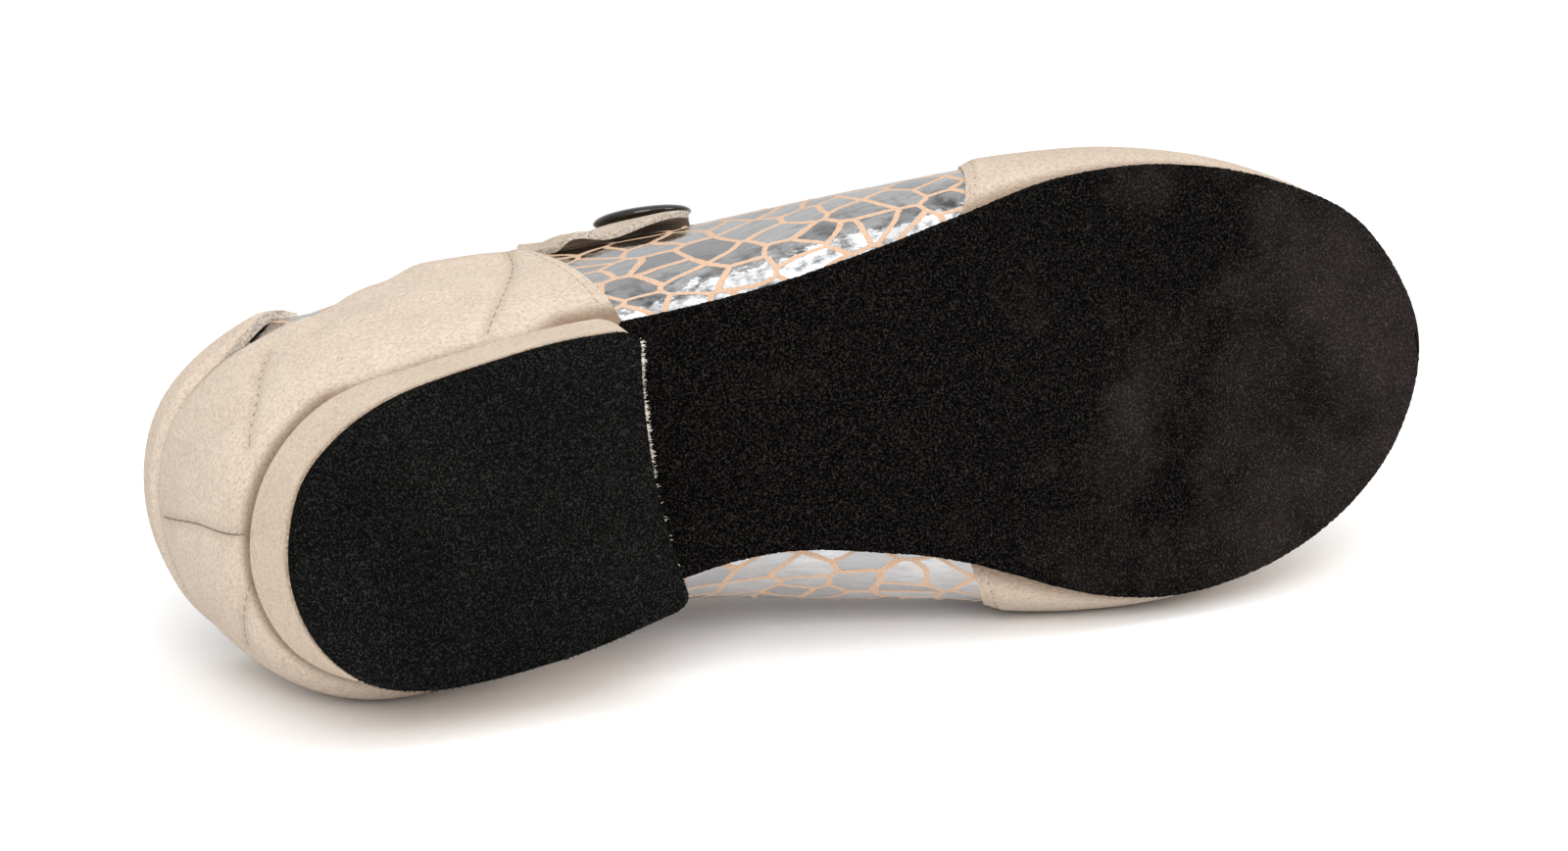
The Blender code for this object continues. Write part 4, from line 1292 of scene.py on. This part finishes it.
def make_loose_fibres():
    """Pale fibres along the heel's breast, and black ones round the heel's top piece."""
    rng = np.random.default_rng(23)
    outline = heel_outline(lift_inset)
    breast = outline[1 - BREAST_STEPS:]
    kind = BREAST_FIBRES
    count = kind.count
    share = rng.beta(1.5, 1.05, count) * 0.95
    dense = rng.random(count) < DENSE_CHANCE
    share = np.where(dense, blend(DENSE_FROM, 1.0, share), share)
    roots = points_at(breast, np.arange(len(breast)), share * (len(breast) - 1))
    roots[:, 0] -= BREAST_ROOT
    roots[:, 2] = rng.uniform(*kind.roots, count)
    ways = np.stack([np.ones(count), rng.normal(0, 0.6, count), rng.normal(-0.1, 0.3, count)], -1)
    tufts("breast_fibres", kind, rng, roots, ways, pale_fibre)

    kind = LIFT_FIBRES
    count = kind.count
    at = rng.uniform(0, len(outline), count)
    ring = np.concatenate([outline, outline[:1]])
    roots = points_at(ring, np.arange(len(ring)), at)
    ahead = points_at(ring, np.arange(len(ring)), at + 0.5) - roots
    outward = unit(np.stack([-ahead[:, 1], ahead[:, 0], np.zeros(count)], -1))
    outward *= np.sign(np.sum(outward * (roots - outline.mean(axis=0)), axis=1))[:, None]
    roots -= outward * LIFT_ROOT
    roots[:, 2] = rng.uniform(*kind.roots, count)
    ways = outward + rng.normal(0, 0.45, (count, 3)) * np.array([1, 1, 0.6])
    tufts("lift_fibres", kind, rng, roots, ways, lift_black)


make_upper()
make_counter()
make_toe_cap()
make_heel_tab()
make_strap()
make_button()
make_sole()
make_insole()
make_heel()
make_loose_fibres()


# Floor, light and camera

FLOOR_SIZE = 6.0
SKY_STRENGTH = 0.80


def make_floor():
    bm = bmesh.new()
    bmesh.ops.create_grid(bm, x_segments=2, y_segments=2, size=FLOOR_SIZE)
    white = Finish("white_floor", Roughness=0.9, Specular_IOR_Level=0.1, Base_Color=(0.95, 0.95, 0.95))
    floor = in_scene("studio_floor", meshed("studio_floor", bm, [white.made]))


def soft_light(name, place, aim, size, power):
    data = bpy.data.lights.new(name, "AREA")
    data.shape = "RECTANGLE"
    data.size, data.size_y = size
    data.energy = power
    light = in_scene(name, data)
    light.location = place
    light.rotation_euler = (Vector(aim) - Vector(place)).to_track_quat("-Z", "Y").to_euler()


# The photo's camera in the standing shoe's millimetres
CAMERA_AIM = (102.24, -6.16, 0.0)
CAMERA_WAY = (-0.4413, -0.1715, -0.8808)
CAMERA_RIGHT = (0.8763, 0.1293, -0.4641)
CAMERA_REACH = 900.0
FOCAL_PIXELS = 4928.8
PHOTO_WIDTH = 1600


def make_camera():
    back = Vector(lying_way(CAMERA_WAY)).normalized()
    right = Vector(lying_way(CAMERA_RIGHT))
    right = (right - back * right.dot(back)).normalized()
    up = back.cross(right)
    spot = lying(np.array(CAMERA_AIM) + CAMERA_REACH * np.array(CAMERA_WAY))
    data = bpy.data.cameras.new("photo_camera")
    data.sensor_width = 36.0
    data.sensor_fit = "HORIZONTAL"
    data.lens = FOCAL_PIXELS * data.sensor_width / PHOTO_WIDTH
    data.clip_start = 0.01
    camera = in_scene("photo_camera", data)
    camera.matrix_world = Matrix.Translation(spot) @ Matrix((right, up, back)).transposed().to_4x4()
    bpy.context.scene.camera = camera


def make_studio():
    world = bpy.data.worlds.new("studio")
    bpy.context.scene.world = world
    world.use_nodes = True
    sky = world.node_tree.nodes["Background"]
    sky.inputs["Color"].default_value = (*WHITE, 1.0)
    sky.inputs["Strength"].default_value = SKY_STRENGTH
    soft_light("front_softbox", (-0.55, -1.05, 0.80), (0.0, 0.0, 0.04), (0.9, 0.6), 10.0)
    soft_light("overhead_softbox", (0.1, -0.40, 1.2), (0.05, -0.05, 0.0), (1.6, 1.1), 8.0)
    soft_light("toe_side_fill", (1.2, -1.2, 0.8), (0.0, 0.0, 0.04), (0.7, 0.5), 5.0)
    view = bpy.context.scene.view_settings
    view.view_transform = "Standard"
    view.look = "None"


make_floor()
make_studio()
make_camera()
